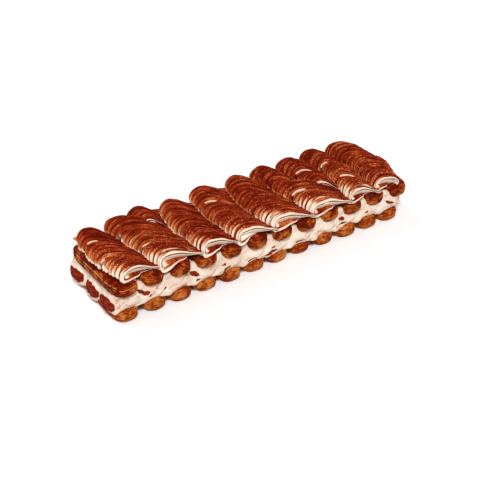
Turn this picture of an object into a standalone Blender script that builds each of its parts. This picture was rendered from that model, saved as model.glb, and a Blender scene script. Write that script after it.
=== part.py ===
"""Tiramisu log for Blender 4.5.

A long tiramisu, read from the bottom up: a row of ladyfingers laid across the log with their
flat sides down, a thick layer of cream that fills the grooves, a second row of ladyfingers with
their flat sides up, and rows of ribbed cream piped from the back to the front.

Frame: metres, +Z up, X along the log, the shown long side at -Y. The origin is the middle of
the footprint, on the surface that the log rests on.
"""

import math

import bmesh
import bpy
import numpy as np
from mathutils import Matrix, Vector

MM = 0.001

# ---- ladyfingers -------------------------------------------------------------------------
FINGER_LENGTH = 89.0 * MM
FINGER_WIDTH = 25.7 * MM
FINGER_HEIGHT = 16.0 * MM
FINGERS_IN_ROW = 12
FINGER_SIDES = 10
FINGER_BANDS = 6
SECTION_FULLNESS = 0.75     # below 1 the section is fuller than an ellipse
END_FULLNESS = 0.5          # below 1 the ends are blunter than a half ellipse
END_LENGTH = 0.35           # below 1 the straight middle is longer
FLAT_SIDE = 0.36            # depth of the flat side below the middle, as a share of the height
FINGER_MIDDLE_Y = -3.8 * MM
TOP_ROW_FIRST_LENGTH = 86.5 * MM        # the one that shows along the left end is shorter
TOP_ROW_FIRST_MIDDLE_Y = -5.8 * MM
TOP_ROW_LAST_OUT = 2.0 * MM             # the last one lies a little apart

BOTTOM_ROW_FIRST_X = -146.8 * MM
BOTTOM_ROW_PITCH = 26.3 * MM
BOTTOM_ROW_SPLAY = math.radians(2.5)    # the first ladyfinger of the row lies askew
TOP_ROW_FIRST_X = -148.6 * MM
TOP_ROW_PITCH = 27.3 * MM
TOP_ROW_LOW_LEFT = 22.6 * MM            # lowest point of the upper row at the left end
TOP_ROW_LOW_RIGHT = 19.1 * MM           # and at the right end, where the cream is thinner

UNEVEN_SEED = 11
UNEVEN_SIZE = 0.012         # share by which a ladyfinger differs from the mean
UNEVEN_PLACE = 0.9 * MM     # how far a ladyfinger sticks out past the mean
UNEVEN_TURN = math.radians(0.7)

# ---- the cream between the rows --------------------------------------------------------------
CREAM_LEFT = -159.0 * MM
CREAM_RIGHT = 159.5 * MM
CREAM_FRONT_LOW = -46.6 * MM    # the front bulges low down and draws back under the upper row
CREAM_FRONT_HIGH = -42.6 * MM
CREAM_BACK_LOW = 39.6 * MM
CREAM_BACK_HIGH = 36.2 * MM
CREAM_LOW = 9.5 * MM
CREAM_HIGH = 30.3 * MM
CREAM_ROUNDING = 3.0 * MM
CREAM_ROUNDING_STEPS = 1
FIT_GAP = 0.35 * MM         # air between the cream and each ladyfinger
LOBE_SIDES = 10
LOBE_BANDS = 6
LEFT_LOBE_CENTRES_Y = (24.0 * MM, -4.5 * MM, -30.0 * MM)
LEFT_LOBE_CENTRE = (-156.6 * MM, 13.4 * MM)         # x and z
LEFT_LOBE_RADII = (7.0 * MM, 15.0 * MM, 9.6 * MM)
RIGHT_LOBE_CENTRES_Y = (22.0 * MM, -8.0 * MM)
RIGHT_LOBE_CENTRE = (155.5 * MM, 16.0 * MM)
RIGHT_LOBE_RADII = (6.0 * MM, 17.0 * MM, 9.0 * MM)

# ---- the piped rows ----------------------------------------------------------------------------
PIPE_BACK = 49.0 * MM
PIPE_FRONT = -51.5 * MM
PIPE_CREST = 14.2 * MM      # height of a row above the ladyfingers
PIPE_WALL = 4.6 * MM        # upright foot of the left side
PIPE_TAIL = 3.4 * MM        # thickness of the tail, where it goes under the next row
PIPE_BULGE = 3.0 * MM       # how far the left side leans over the tail before it
PIPE_CLEARANCE = 0.4 * MM   # air between a tail and the row that overlaps it
REST_GAP = 0.3 * MM         # air between the piped rows and the ladyfingers
BACK_ROUNDING = 8.0 * MM
BACK_END = 0.4              # height at the very back, as a share of the full height
BACK_INSET = 5.0 * MM       # how far the left side draws in at the very back
FRONT_SLANT = 6.0 * MM      # the front end runs back by this much from its left to its right
SLANT_START = -30.0 * MM
CHIN_DROOP = 4.4 * MM       # how far the left of the front end hangs over the ladyfingers
CHIN_START = -49.4 * MM
CHIN_SHARE = 0.42           # part of the width that hangs
SWIRL_DEPTH = 3.0 * MM      # hollow of the open front end
SWIRL_INSET = 0.62
SWELLS = 3                  # each row is piped in three overlapping swells
RIBS_PER_SWELL = 8
RIB_DEPTH = 1.3 * MM
SWELL_DIP = 0.30            # how much lower a row is between two swells, as a share
SWELL_SHAPE = 2.6           # above 2 a swell is flatter along its top
NOTCH = 2.5 * MM            # how far the left side draws in between two swells
NOTCH_REACH = 9.0 * MM
FRONT_ROUNDING = 5.0 * MM
FRONT_END = 0.72            # height at the very front, as a share of the full height
NARROW_ROW = 22.0 * MM      # a row narrower than this gets lower
LEAST_CREST = 8.2 * MM

# Crest of a row from left to right: share of the width, share of the height. The last row
# has no other over its tail and stays full to its right side.
CREST_LINE = ((0.02, 0.84), (0.18, 0.98), (0.38, 1.0), (0.60, 0.80), (0.80, 0.52))
LAST_CREST_LINE = ((0.02, 0.84), (0.18, 0.98), (0.40, 1.0), (0.66, 0.92), (0.88, 0.66))
BULGE_HEIGHT = 0.58         # height of the bulge on the left side, as a share of the crest

# Where each row starts at the back, in mm.
BACKS = {
    "row_1": 41.5, "row_2": 42.0, "row_2_short": 47.0, "row_3": 41.5, "row_4": 46.0,
    "row_5": 46.0, "row_6": 46.5, "row_6_short": 46.0, "row_7": 49.0, "row_8": 46.0,
}
# Left edge of each row that runs the whole way, and the right edge of the last one, in mm
# at five places from the back to the front.
EDGE_PLACES = (46.0, 15.0, 0.0, -15.0, -50.0)
EDGES = {
    "row_1": (-152.0, -161.0, -161.5, -160.0, -156.0),
    "row_2": (-125.0, -121.0, -120.0, -117.0, -114.0),
    "row_3": (-66.0, -73.0, -74.5, -72.0, -72.0),
    "row_4": (-30.0, -36.0, -38.0, -36.0, -37.0),
    "row_5": (11.0, 1.0, 0.5, 0.0, 4.0),
    "row_6": (38.5, 43.0, 43.0, 46.0, 48.0),
    "row_7": (101.5, 104.0, 103.0, 99.0, 90.0),
    "row_8": (131.0, 132.0, 134.0, 128.0, 124.0),
    "end": (164.0, 165.5, 169.0, 166.0, 157.0),
}
# Two short rows that start at the back and die out between two long ones:
# left edge at the back and at the end, where it ends, and the row to its right.
SHORT_ROWS = {
    "row_2_short": (-98.0, -93.5, 20.0, "row_3"),
    "row_6_short": (69.0, 76.0, -16.0, "row_7"),
}
CLOSING = 9.0 * MM          # length over which a short row narrows to nothing
LEAST_WIDTH = 5.0 * MM
ROW_ORDER = ("row_1", "row_2", "row_2_short", "row_3", "row_4", "row_5", "row_6",
             "row_6_short", "row_7", "row_8", "end")

FINGER_COLOUR = (0.42, 0.16, 0.045, 1.0)
SOAKED_COLOUR = (0.16, 0.035, 0.012, 1.0)
CREAM_COLOUR = (0.86, 0.74, 0.60, 1.0)
COCOA_COLOUR = (0.24, 0.045, 0.014, 1.0)


def clear_scene():
    for obj in list(bpy.data.objects):
        bpy.data.objects.remove(obj, do_unlink=True)


def new_collection(name):
    collection = bpy.data.collections.new(name)
    bpy.context.scene.collection.children.link(collection)
    return collection


def new_material(name, colour, roughness):
    material = bpy.data.materials.new(name)
    material.use_nodes = True
    shader = material.node_tree.nodes["Principled BSDF"]
    shader.inputs["Base Color"].default_value = colour
    shader.inputs["Roughness"].default_value = roughness
    shader.inputs["Metallic"].default_value = 0.0
    material.diffuse_color = colour
    return material


def new_object(name, bm, collection, material=None):
    if bm.calc_volume(signed=True) < 0.0:
        bmesh.ops.reverse_faces(bm, faces=bm.faces)
    mesh = bpy.data.meshes.new(name)
    bm.to_mesh(mesh)
    bm.free()
    mesh.shade_smooth()
    mesh.set_sharp_from_angle(angle=math.radians(50))
    obj = bpy.data.objects.new(name, mesh)
    if material is not None:
        obj.data.materials.append(material)
    collection.objects.link(obj)
    return obj


def hide_tool(obj):
    obj.hide_render = True
    obj.display_type = "WIRE"


# ---- ladyfingers -----------------------------------------------------------------------------

def power(value, exponent):
    return math.copysign(abs(value) ** exponent, value)


def ladyfinger(length, width, height):
    """A blunt capsule along Y with one flat side, the flat side down at z = 0."""
    bm = bmesh.new()
    turn = Matrix.Rotation(math.radians(90), 4, "X")
    bmesh.ops.create_uvsphere(bm, u_segments=FINGER_SIDES, v_segments=FINGER_BANDS, radius=1.0,
                              matrix=turn)
    full_height = height / (0.5 + FLAT_SIDE)
    for vert in bm.verts:
        along = max(-1.0, min(1.0, vert.co.y))
        around = math.hypot(vert.co.x, vert.co.z)
        angle = math.atan2(vert.co.z, vert.co.x)
        reach = around ** END_FULLNESS
        x = 0.5 * width * reach * power(math.cos(angle), SECTION_FULLNESS)
        z = 0.5 * full_height * reach * power(math.sin(angle), SECTION_FULLNESS)
        y = 0.5 * length * power(along, END_LENGTH) if abs(along) > 1e-6 else 0.0
        z = max(z, -FLAT_SIDE * full_height)
        vert.co = Vector((x, y, z + FLAT_SIDE * full_height))
    return bm


def row_spots(first_x, pitch, seed):
    """Size and place of each ladyfinger in a row, all a little uneven."""
    rng = np.random.default_rng(seed)
    spots = []
    for index in range(FINGERS_IN_ROW):
        size = 1.0 + UNEVEN_SIZE * rng.uniform(-1, 1, 3)
        out = UNEVEN_PLACE * rng.uniform(-1, 1)
        turn = UNEVEN_TURN * rng.uniform(-1, 1)
        spots.append({
            "size": [FINGER_LENGTH * size[0], FINGER_WIDTH * size[1], FINGER_HEIGHT * size[2]],
            "x": first_x + index * pitch,
            "y": FINGER_MIDDLE_Y + out,
            "turn": turn,
        })
    return spots


def lower_spots():
    spots = row_spots(BOTTOM_ROW_FIRST_X, BOTTOM_ROW_PITCH, UNEVEN_SEED)
    spots[0]["turn"] -= BOTTOM_ROW_SPLAY
    return spots


def upper_spots():
    spots = row_spots(TOP_ROW_FIRST_X, TOP_ROW_PITCH, UNEVEN_SEED + 1)
    spots[0]["size"][0] = TOP_ROW_FIRST_LENGTH
    spots[0]["y"] = TOP_ROW_FIRST_MIDDLE_Y
    spots[-1]["x"] += TOP_ROW_LAST_OUT
    return spots


def along_log(x, left, right):
    """A value that changes evenly from the left end of the upper row to its right end."""
    share = (x - TOP_ROW_FIRST_X) / (TOP_ROW_PITCH * (FINGERS_IN_ROW - 1))
    return left + (right - left) * share


def finger_placement(spot, upper):
    """Matrix that lays a ladyfinger in its row; in the upper row it is flat side up."""
    turn = Matrix.Rotation(spot["turn"], 4, "Z")
    if not upper:
        return Matrix.Translation((spot["x"], spot["y"], 0.0)) @ turn
    top = flat_top(spot["x"])
    flip = Matrix.Rotation(math.pi, 4, "Y")
    return Matrix.Translation((spot["x"], spot["y"], top)) @ turn @ flip


def flat_top(x):
    """Height of the flat side of the upper row."""
    return along_log(x, TOP_ROW_LOW_LEFT, TOP_ROW_LOW_RIGHT) + FINGER_HEIGHT


def lay_row(name, spots, upper, collection, material):
    for number, spot in enumerate(spots, start=1):
        bm = ladyfinger(*spot["size"])
        bm.transform(finger_placement(spot, upper))
        new_object(f"{name}_{number:02d}", bm, collection, material)


def finger_cutter(spot, upper, number, collection):
    """The ladyfinger grown by the fit gap, to cut its bed in the cream."""
    grown = [value + 2.0 * FIT_GAP for value in spot["size"]]
    bm = ladyfinger(*grown)
    bm.transform(Matrix.Translation((0.0, 0.0, -FIT_GAP)))
    bm.transform(finger_placement(spot, upper))
    row = "upper" if upper else "lower"
    hide_tool(new_object(f"bed_{row}_{number:02d}", bm, collection))


# ---- the cream layer -------------------------------------------------------------------------

def cream_slab():
    """A slab along the log whose long sides lean in towards the top."""
    bm = bmesh.new()
    bmesh.ops.create_cube(bm, size=1.0)
    for vert in bm.verts:
        high = vert.co.z > 0.0
        if vert.co.y > 0.0:
            y = CREAM_BACK_HIGH if high else CREAM_BACK_LOW
        else:
            y = CREAM_FRONT_HIGH if high else CREAM_FRONT_LOW
        x = CREAM_RIGHT if vert.co.x > 0.0 else CREAM_LEFT
        vert.co = Vector((x, y, CREAM_HIGH if high else CREAM_LOW))
    bmesh.ops.bevel(bm, geom=bm.edges[:], offset=CREAM_ROUNDING, segments=CREAM_ROUNDING_STEPS,
                    profile=0.5, affect="EDGES")
    return bm


def cream_lobe(centre, radii):
    bm = bmesh.new()
    place = Matrix.Translation(centre) @ Matrix.Diagonal((*radii, 1.0))
    bmesh.ops.create_uvsphere(bm, u_segments=LOBE_SIDES, v_segments=LOBE_BANDS, radius=1.0,
                              matrix=place)
    return bm


def boolean_with(target, collection, operation):
    modifier = target.modifiers.new(operation.title(), "BOOLEAN")
    modifier.operand_type = "COLLECTION"
    modifier.collection = collection
    modifier.operation = operation
    modifier.solver = "EXACT"


def make_cream(lower, upper, collection, lobes, beds, material):
    """One body of cream: a slab, the lobes that hang down at its ends, minus the beds."""
    cream = new_object("cream_layer", cream_slab(), collection, material)
    ends = ((LEFT_LOBE_CENTRES_Y, LEFT_LOBE_CENTRE, LEFT_LOBE_RADII),
            (RIGHT_LOBE_CENTRES_Y, RIGHT_LOBE_CENTRE, RIGHT_LOBE_RADII))
    for centres_y, (x, z), radii in ends:
        for y in centres_y:
            hide_tool(new_object("lobe", cream_lobe((x, y, z), radii), lobes))
    for is_upper, spots in ((False, lower), (True, upper)):
        for number, spot in enumerate(spots, start=1):
            finger_cutter(spot, is_upper, number, beds)
    boolean_with(cream, lobes, "UNION")
    boolean_with(cream, beds, "DIFFERENCE")
    return cream


# ---- the piped rows --------------------------------------------------------------------------

def quarter_curve(depth, rounding):
    """0 at an end, rising on a quarter circle to 1 where the rounding ends."""
    share = min(1.0, max(0.0, depth / rounding))
    return math.sqrt(1.0 - (1.0 - share) ** 2)


def back_curve(name, y):
    return quarter_curve(BACKS[name] * MM - y, BACK_ROUNDING) if name in BACKS else 1.0


def height_share(name, y):
    """Share of the full height that a row has, less near its two ends."""
    back = BACK_END + (1.0 - BACK_END) * back_curve(name, y)
    front = FRONT_END + (1.0 - FRONT_END) * quarter_curve(y - PIPE_FRONT, FRONT_ROUNDING)
    return back * front


def notch(y):
    """How far the left sides draw in at a place along the rows, most between two swells."""
    length = (PIPE_BACK - PIPE_FRONT) / SWELLS
    joints = [PIPE_BACK - length * number for number in range(1, SWELLS)]
    nearest = min(abs(y - joint) for joint in joints)
    return NOTCH * max(0.0, 1.0 - nearest / NOTCH_REACH) ** 2


def long_edge(name, y):
    edge = float(np.interp(y / MM, EDGE_PLACES[::-1], EDGES[name][::-1])) * MM
    if name in BACKS:
        edge += notch(y) + BACK_INSET * (1.0 - back_curve(name, y))
    return edge


def left_edge(name, y):
    """Left edge of a row; past its end, a short row's edge is that of the row to its right."""
    if name in EDGES:
        return long_edge(name, y)
    at_back, at_end, end_y, neighbour = SHORT_ROWS[name]
    end = end_y * MM
    own = float(np.interp(y, (end, PIPE_BACK), (at_end, at_back))) * MM
    own += notch(y) + BACK_INSET * (1.0 - back_curve(name, y))
    share = float(np.interp(y, (end, end + CLOSING), (0.0, 1.0)))
    return long_edge(neighbour, y) * (1.0 - share) + own * share


def stations():
    """Y, place within the swell from 0 to 1, and rib or groove, for each ring of a row."""
    rings = []
    steps = RIBS_PER_SWELL * 2
    for swell in range(SWELLS):
        for step in range(steps):
            within = (step + 0.5) / steps
            y = PIPE_BACK + (PIPE_FRONT - PIPE_BACK) * (swell + within) / SWELLS
            rings.append((y, within, step % 2))
    return rings


def slanted(y, across):
    """The front ends run back to the right: Y of a point at a share across its row."""
    reach = min(1.0, max(0.0, (SLANT_START - y) / (SLANT_START - PIPE_FRONT)))
    return y + FRONT_SLANT * reach * across


def pipe_base(x, y, across):
    """Underside of a row: on the ladyfingers, its left front hanging down before them."""
    hang = max(0.0, (CHIN_START - y) / (CHIN_START - PIPE_FRONT))
    chin = max(0.0, 1.0 - across / CHIN_SHARE)
    return flat_top(x) + REST_GAP - CHIN_DROOP * hang * chin


def row_section(name, next_name, y, within, is_groove):
    """One ring of a row, from the left foot over the crest to the tail and its foot."""
    left = left_edge(name, y)
    right = left_edge(next_name, slanted(y, 1.0)) - PIPE_CLEARANCE
    width = right - left
    swell = 1.0 - abs(2.0 * within - 1.0) ** SWELL_SHAPE
    crest = PIPE_CREST * (1.0 - SWELL_DIP + SWELL_DIP * swell)
    bulge = PIPE_BULGE * swell
    if is_groove:
        crest -= RIB_DEPTH
        bulge -= RIB_DEPTH
    fullness = min(1.0, width / NARROW_ROW)
    height = height_share(name, y)
    crest = height * max(crest * fullness, LEAST_CREST)
    bulge *= fullness
    wall = height * PIPE_WALL
    tail = min(height, height_share(next_name, y)) * PIPE_TAIL
    line = LAST_CREST_LINE if next_name == "end" else CREST_LINE
    outline = [(0.0, 0.0, 0.0), (0.0, 0.0, wall), (0.0, -bulge, BULGE_HEIGHT * crest)]
    outline += [(across, 0.0, share * crest) for across, share in line]
    outline += [(1.0, 0.0, tail), (1.0, 0.0, 0.0), (CHIN_SHARE, 0.0, 0.0)]
    ring = []
    for across, along, up in outline:
        x = left + across * width + along
        place = slanted(y, across)
        ring.append(Vector((x, place, pipe_base(x, place, across) + up)))
    return ring


def open_end(ring):
    """The inner ring of the hollow front end, smaller and further back than the last ring."""
    middle = sum(ring, Vector()) / len(ring)
    inner = [middle + SWIRL_INSET * (point - middle) for point in ring]
    return [point + Vector((0.0, SWIRL_DEPTH, 0.0)) for point in inner]


def piped_row(name, next_name):
    """A row lofted from back to front through its ribs; a long one has a hollow open end."""
    bm = bmesh.new()
    rings = []
    for y, within, is_groove in stations():
        width = left_edge(next_name, y) - left_edge(name, y)
        if y < BACKS[name] * MM and width > LEAST_WIDTH:
            rings.append(row_section(name, next_name, y, within, is_groove))
    if name in EDGES:
        rings.append(open_end(rings[-1]))
    loops = [[bm.verts.new(point) for point in ring] for ring in rings]
    for before, after in zip(loops, loops[1:]):
        for index in range(len(before)):
            following = (index + 1) % len(before)
            bm.faces.new((before[index], before[following], after[following], after[index]))
    bm.faces.new(loops[0][::-1])
    bm.faces.new(loops[-1])
    return bm


def pipe_rows(collection, material):
    for name, next_name in zip(ROW_ORDER, ROW_ORDER[1:]):
        new_object(f"piped_{name}", piped_row(name, next_name), collection, material)


# ---- assembly --------------------------------------------------------------------------------

def evaluated_corners(objects):
    graph = bpy.context.evaluated_depsgraph_get()
    low = Vector((math.inf,) * 3)
    high = Vector((-math.inf,) * 3)
    for obj in objects:
        mesh = obj.evaluated_get(graph).to_mesh()
        for vert in mesh.vertices:
            for axis in range(3):
                low[axis] = min(low[axis], vert.co[axis])
                high[axis] = max(high[axis], vert.co[axis])
        obj.evaluated_get(graph).to_mesh_clear()
    return low, high


def apply_modifiers(obj):
    graph = bpy.context.evaluated_depsgraph_get()
    mesh = bpy.data.meshes.new_from_object(obj.evaluated_get(graph))
    obj.modifiers.clear()
    obj.data = mesh


def centre_on_origin(objects):
    low, high = evaluated_corners(objects)
    shift = Matrix.Translation((-(low.x + high.x) / 2, -(low.y + high.y) / 2, 0.0))
    for obj in objects:
        obj.data.transform(shift)


def main():
    clear_scene()
    parts = new_collection("tiramisu")
    lobes = new_collection("lobes")
    beds = new_collection("beds")
    finger = new_material("ladyfinger", FINGER_COLOUR, 0.75)
    soaked = new_material("soaked_ladyfinger", SOAKED_COLOUR, 0.65)
    cream = new_material("cream", CREAM_COLOUR, 0.5)
    cocoa = new_material("cocoa_dusted_cream", COCOA_COLOUR, 0.85)
    lower = lower_spots()
    upper = upper_spots()
    lay_row("ladyfinger_lower", lower, False, parts, finger)
    lay_row("ladyfinger_upper", upper, True, parts, soaked)
    layer = make_cream(lower, upper, parts, lobes, beds, cream)
    apply_modifiers(layer)
    for tools in (lobes, beds):
        for obj in list(tools.objects):
            bpy.data.objects.remove(obj, do_unlink=True)
    pipe_rows(parts, cocoa)
    centre_on_origin(list(parts.objects))


main()
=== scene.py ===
"""Looks of a tiramisu log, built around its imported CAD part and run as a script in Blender 4.5.

Ten rows of ribbed cream under cocoa lie on an upper row of soaked ladyfingers, a layer of cream
and a lower row of ladyfingers. Every piece stands for the CAD node that has its place. Lengths
are in metres, +Z is up, and the shown long side of the log is at -Y.
"""

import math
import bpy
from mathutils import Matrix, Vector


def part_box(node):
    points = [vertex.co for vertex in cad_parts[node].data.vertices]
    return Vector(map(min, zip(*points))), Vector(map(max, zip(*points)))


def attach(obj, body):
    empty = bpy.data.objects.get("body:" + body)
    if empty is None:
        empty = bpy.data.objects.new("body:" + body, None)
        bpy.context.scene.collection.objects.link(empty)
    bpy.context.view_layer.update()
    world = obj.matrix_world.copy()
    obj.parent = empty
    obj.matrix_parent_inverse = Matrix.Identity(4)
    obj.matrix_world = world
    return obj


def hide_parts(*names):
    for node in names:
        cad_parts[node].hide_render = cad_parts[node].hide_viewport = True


bl_info = {
    "name": "Tiramisu Log",
    "version": (1, 0, 0),
    "blender": (4, 5, 0),
    "location": "3D View > Sidebar > Tiramisu",
    "description": "Piped rows, ladyfingers, cream and cocoa of a tiramisu log",
    "category": "Object",
}

from collections import namedtuple

import bmesh
import bpy
import numpy as np
from bpy.props import FloatProperty, FloatVectorProperty, IntProperty, PointerProperty
from mathutils import Matrix, Vector, noise

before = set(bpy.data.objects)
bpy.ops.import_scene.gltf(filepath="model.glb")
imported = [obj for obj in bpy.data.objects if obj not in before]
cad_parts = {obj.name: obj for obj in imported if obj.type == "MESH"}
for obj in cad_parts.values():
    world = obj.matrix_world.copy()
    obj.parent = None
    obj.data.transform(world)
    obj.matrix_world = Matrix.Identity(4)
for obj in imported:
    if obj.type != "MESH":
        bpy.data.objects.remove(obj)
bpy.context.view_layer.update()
BODY = "root"
MM = 0.001

# ---- the ladyfingers, as the CAD part lays them ----
FINGER_LENGTH = 89.0 * MM
FINGER_WIDTH = 25.7 * MM
FINGER_HEIGHT = 16.0 * MM
FINGERS_IN_ROW = 12
SECTION_FULLNESS = 0.75
END_FULLNESS = 0.5
END_LENGTH = 0.35
FLAT_SIDE = 0.36
FINGER_MIDDLE_Y = -3.8 * MM
TOP_ROW_FIRST_LENGTH = 86.5 * MM
TOP_ROW_FIRST_MIDDLE_Y = -5.8 * MM
TOP_ROW_LAST_OUT = 2.0 * MM
BOTTOM_ROW_FIRST_X = -146.8 * MM
BOTTOM_ROW_PITCH = 26.3 * MM
BOTTOM_ROW_SPLAY = math.radians(2.5)
TOP_ROW_FIRST_X = -148.6 * MM
TOP_ROW_PITCH = 27.3 * MM
TOP_ROW_LOW_LEFT = 22.6 * MM
TOP_ROW_LOW_RIGHT = 19.1 * MM
UNEVEN_SEED = 11
UNEVEN_SIZE = 0.012
UNEVEN_PLACE = 0.9 * MM
UNEVEN_TURN = math.radians(0.7)

# ---- the finer form of the ladyfingers ----
FINGER_SIDES = 56
FINGER_BANDS = 44
SEAM_OUT = 0.35 * MM
SEAM_LOW = 2.2 * MM         # how far the edge of a soaked ladyfinger's flat side lies below it
SEAM_END_LOW = 4.2 * MM     # and at its two ends
SEAM_HALF_WIDTH = 0.6 * MM
ENDS_FROM = (0.72, 0.96)    # where its ends begin, as a share of the half length
ROUNDER_FULLNESS = END_FULLNESS + 0.07  # of the ends, against the plain CAD ones
ROUNDER_LENGTH = END_LENGTH + 0.04
EDGE_DROP = 1.0 * MM        # the flat side is this much lower along its edges
END_DROP = 2.4 * MM         # and this much at its two ends
FIRST_ROLL = math.radians(4.5)          # of the first soaked ladyfinger, whose flat side shows
UPPER_SEED = 40             # added to the number of an upper ladyfinger, so that it differs
WRINKLE_FLATTEN = (1.0, 1.0, 2.1)       # wrinkles are this much lower than they are wide
SAG_SCALE = 60.0            # of the noise that makes a ladyfinger uneven, per metre
# More than half of the wrinkles and of the sag is taken off, so that a ladyfinger stays inside
# its CAD node.
WRINKLE_LEVEL = 0.62
SAG_LEVEL = 0.60

# ---- the cream between the rows, as the CAD part has it ----
CREAM_LEFT = -159.0 * MM
CREAM_RIGHT = 159.5 * MM
CREAM_FRONT_LOW = -46.6 * MM
CREAM_FRONT_HIGH = -42.6 * MM
CREAM_BACK_LOW = 39.6 * MM
CREAM_BACK_HIGH = 36.2 * MM
CREAM_LOW = 9.5 * MM
CREAM_HIGH = 30.3 * MM
LEFT_LOBE_CENTRES_Y = (24.0 * MM, -4.5 * MM, -30.0 * MM)
LEFT_LOBE_CENTRE = (-156.6 * MM, 13.4 * MM)
LEFT_LOBE_RADII = (7.0 * MM, 15.0 * MM, 9.6 * MM)
RIGHT_LOBE_CENTRES_Y = (22.0 * MM, -8.0 * MM)
RIGHT_LOBE_CENTRE = (155.5 * MM, 16.0 * MM)
RIGHT_LOBE_RADII = (6.0 * MM, 17.0 * MM, 9.0 * MM)

# ---- the finer form of the cream ----
STROKE_LEAN = 0.28          # of the strokes in it, against its length, in radians
STROKE_DRAW = 0.22          # their width, as a share of their length
END_INSET = 1.0 * MM        # of the slab inside the CAD one, which leaves room for the waves
SIDE_INSET = 0.6 * MM
EDGE_ROUNDING = 4.0 * MM
VOXEL = 1.15 * MM
CREAM_SEED = 5
# Blobs of cream along its sides: height, how far inside the edge, and radii.
SWAG = (18.0 * MM, 3.2 * MM, (11.0 * MM, 4.2 * MM, 4.4 * MM))       # over a lower ladyfinger
LOW_BLOB = (13.6 * MM, 3.4 * MM, (5.5 * MM, 3.8 * MM, 4.6 * MM))    # between two of them
HIGH_BLOB = (26.0 * MM, 2.6 * MM, (5.0 * MM, 3.6 * MM, 6.0 * MM))   # between two upper ones
LAST_BLOB = 8.0 * MM        # none of the low ones is nearer than this to the right end
# Cocoa that fell on the front of the cream: x and z in mm, half length, half height, lean.
FRONT_SPOTS = (
    (-134.5, 23.5, 5.6, 2.1, -0.75), (-130.0, 20.5, 3.6, 1.6, 0.2), (-127.0, 18.5, 2.4, 0.9, 0.6),
    (-111.0, 18.2, 1.8, 1.0, 0.4), (-81.0, 21.5, 5.0, 2.6, -0.55), (-78.5, 15.5, 3.0, 1.0, 0.2),
    (-48.5, 15.0, 5.6, 1.6, 0.60), (-49.5, 19.0, 2.4, 0.8, 0.4), (0.5, 14.6, 7.4, 1.8, 0.22),
    (-21.0, 15.2, 6.5, 1.0, 0.25), (34.0, 14.6, 5.5, 1.0, 0.25), (83.5, 20.6, 3.2, 1.7, 0.0),
    (84.0, 16.2, 4.6, 1.1, 0.30), (141.0, 20.0, 6.0, 1.5, -0.35), (112.0, 19.0, 2.2, 1.0, 0.3),
    (3.0, 19.2, 2.8, 0.9, 0.30),
)

# ---- the piped rows, as the CAD part lays them ----
PIPE_CREST = 13.9 * MM
PIPE_TAIL = 3.4 * MM
PIPE_BULGE = 3.0 * MM
REST_GAP = 0.1 * MM
BACK_ROUNDING = 8.0 * MM
BACK_END = 0.4
BACK_INSET = 5.0 * MM
SWELLS = 3
RIBS_PER_SWELL = 6
SWELL_DIP = 0.30
SWELL_SHAPE = 2.6
NARROW_ROW = 22.0 * MM
LEAST_CREST = 8.2 * MM
BULGE_AT_JOINT = 0.35       # share of the bulge that is left at a joint
BULGE_MORE = 0.6 * MM
# Where the back of each row lies, in mm.
BACKS = {
    "row_1": 37.5, "row_2": 41.0, "row_2_short": 47.0, "row_3": 41.5, "row_4": 46.0,
    "row_5": 46.0, "row_6": 46.5, "row_6_short": 46.0, "row_7": 49.0, "row_8": 46.0,
}
EDGE_REACH = 7.0            # over which a left edge is smoothed each way, in mm
# The left edge of each long row and the right edge of the last one, at these places, in mm.
EDGE_PLACES = (46.0, 15.0, 0.0, -15.0, -50.0)
EDGES = {
    "row_1": (-149.5, -157.5, -157.5, -156.5, -149.5),
    "row_2": (-125.0, -121.0, -120.0, -117.0, -113.0),
    "row_3": (-64.0, -73.0, -74.5, -72.0, -71.0),
    "row_4": (-30.0, -36.0, -38.0, -36.0, -35.0),
    "row_5": (11.0, 1.0, 0.5, 0.0, 5.0),
    "row_6": (38.5, 43.0, 43.0, 46.0, 48.0),
    "row_7": (101.5, 104.0, 103.0, 99.0, 91.0),
    "row_8": (131.0, 132.0, 134.0, 128.0, 126.0),
    "end": (162.0, 162.5, 169.0, 166.0, 150.5),
}
# The left edge of a short row at its back and at its end, the place of its end, and the row to
# its right.
SHORT_ROWS = {
    "row_2_short": (-98.0, -93.5, 20.0, "row_3"),
    "row_6_short": (69.0, 76.0, -16.0, "row_7"),
}
SHORT_FRONTS = {"row_2_short": 5.3, "row_6_short": 11.7}     # counted in ribs from the back
CLOSING = 9.0 * MM          # over which a short row's edge goes over into the next row's
ROW_ORDER = ("row_1", "row_2", "row_2_short", "row_3", "row_4", "row_5", "row_6",
             "row_6_short", "row_7", "row_8", "end")

# ---- the finer form of the piped rows ----
RINGS_PER_RIB = 16
PAST_JOINT = 0.02           # where each swell has one more ring, in ribs past the joint
POINTS_OVER = 46            # points of a ring from the left foot over the crest to the tail
POINTS_UNDER = 16
UNDER_NEXT = 3.0 * MM       # a tail goes on this far under the row that overlaps it
LIP_SHARE = 0.25            # part of the last rib of a swell that ends in a blunt lip
TINY = 1e-6                 # keeps what is right on a joint or a groove with what is before it
LENGTH = SWELLS * RIBS_PER_SWELL        # of a row, counted in ribs
JOINTS = range(RIBS_PER_SWELL, LENGTH, RIBS_PER_SWELL)
START_Y = (49.0, 15.5, -14.0)           # where the swells start, in mm
RIB_PITCH = 5.1 * MM
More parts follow.
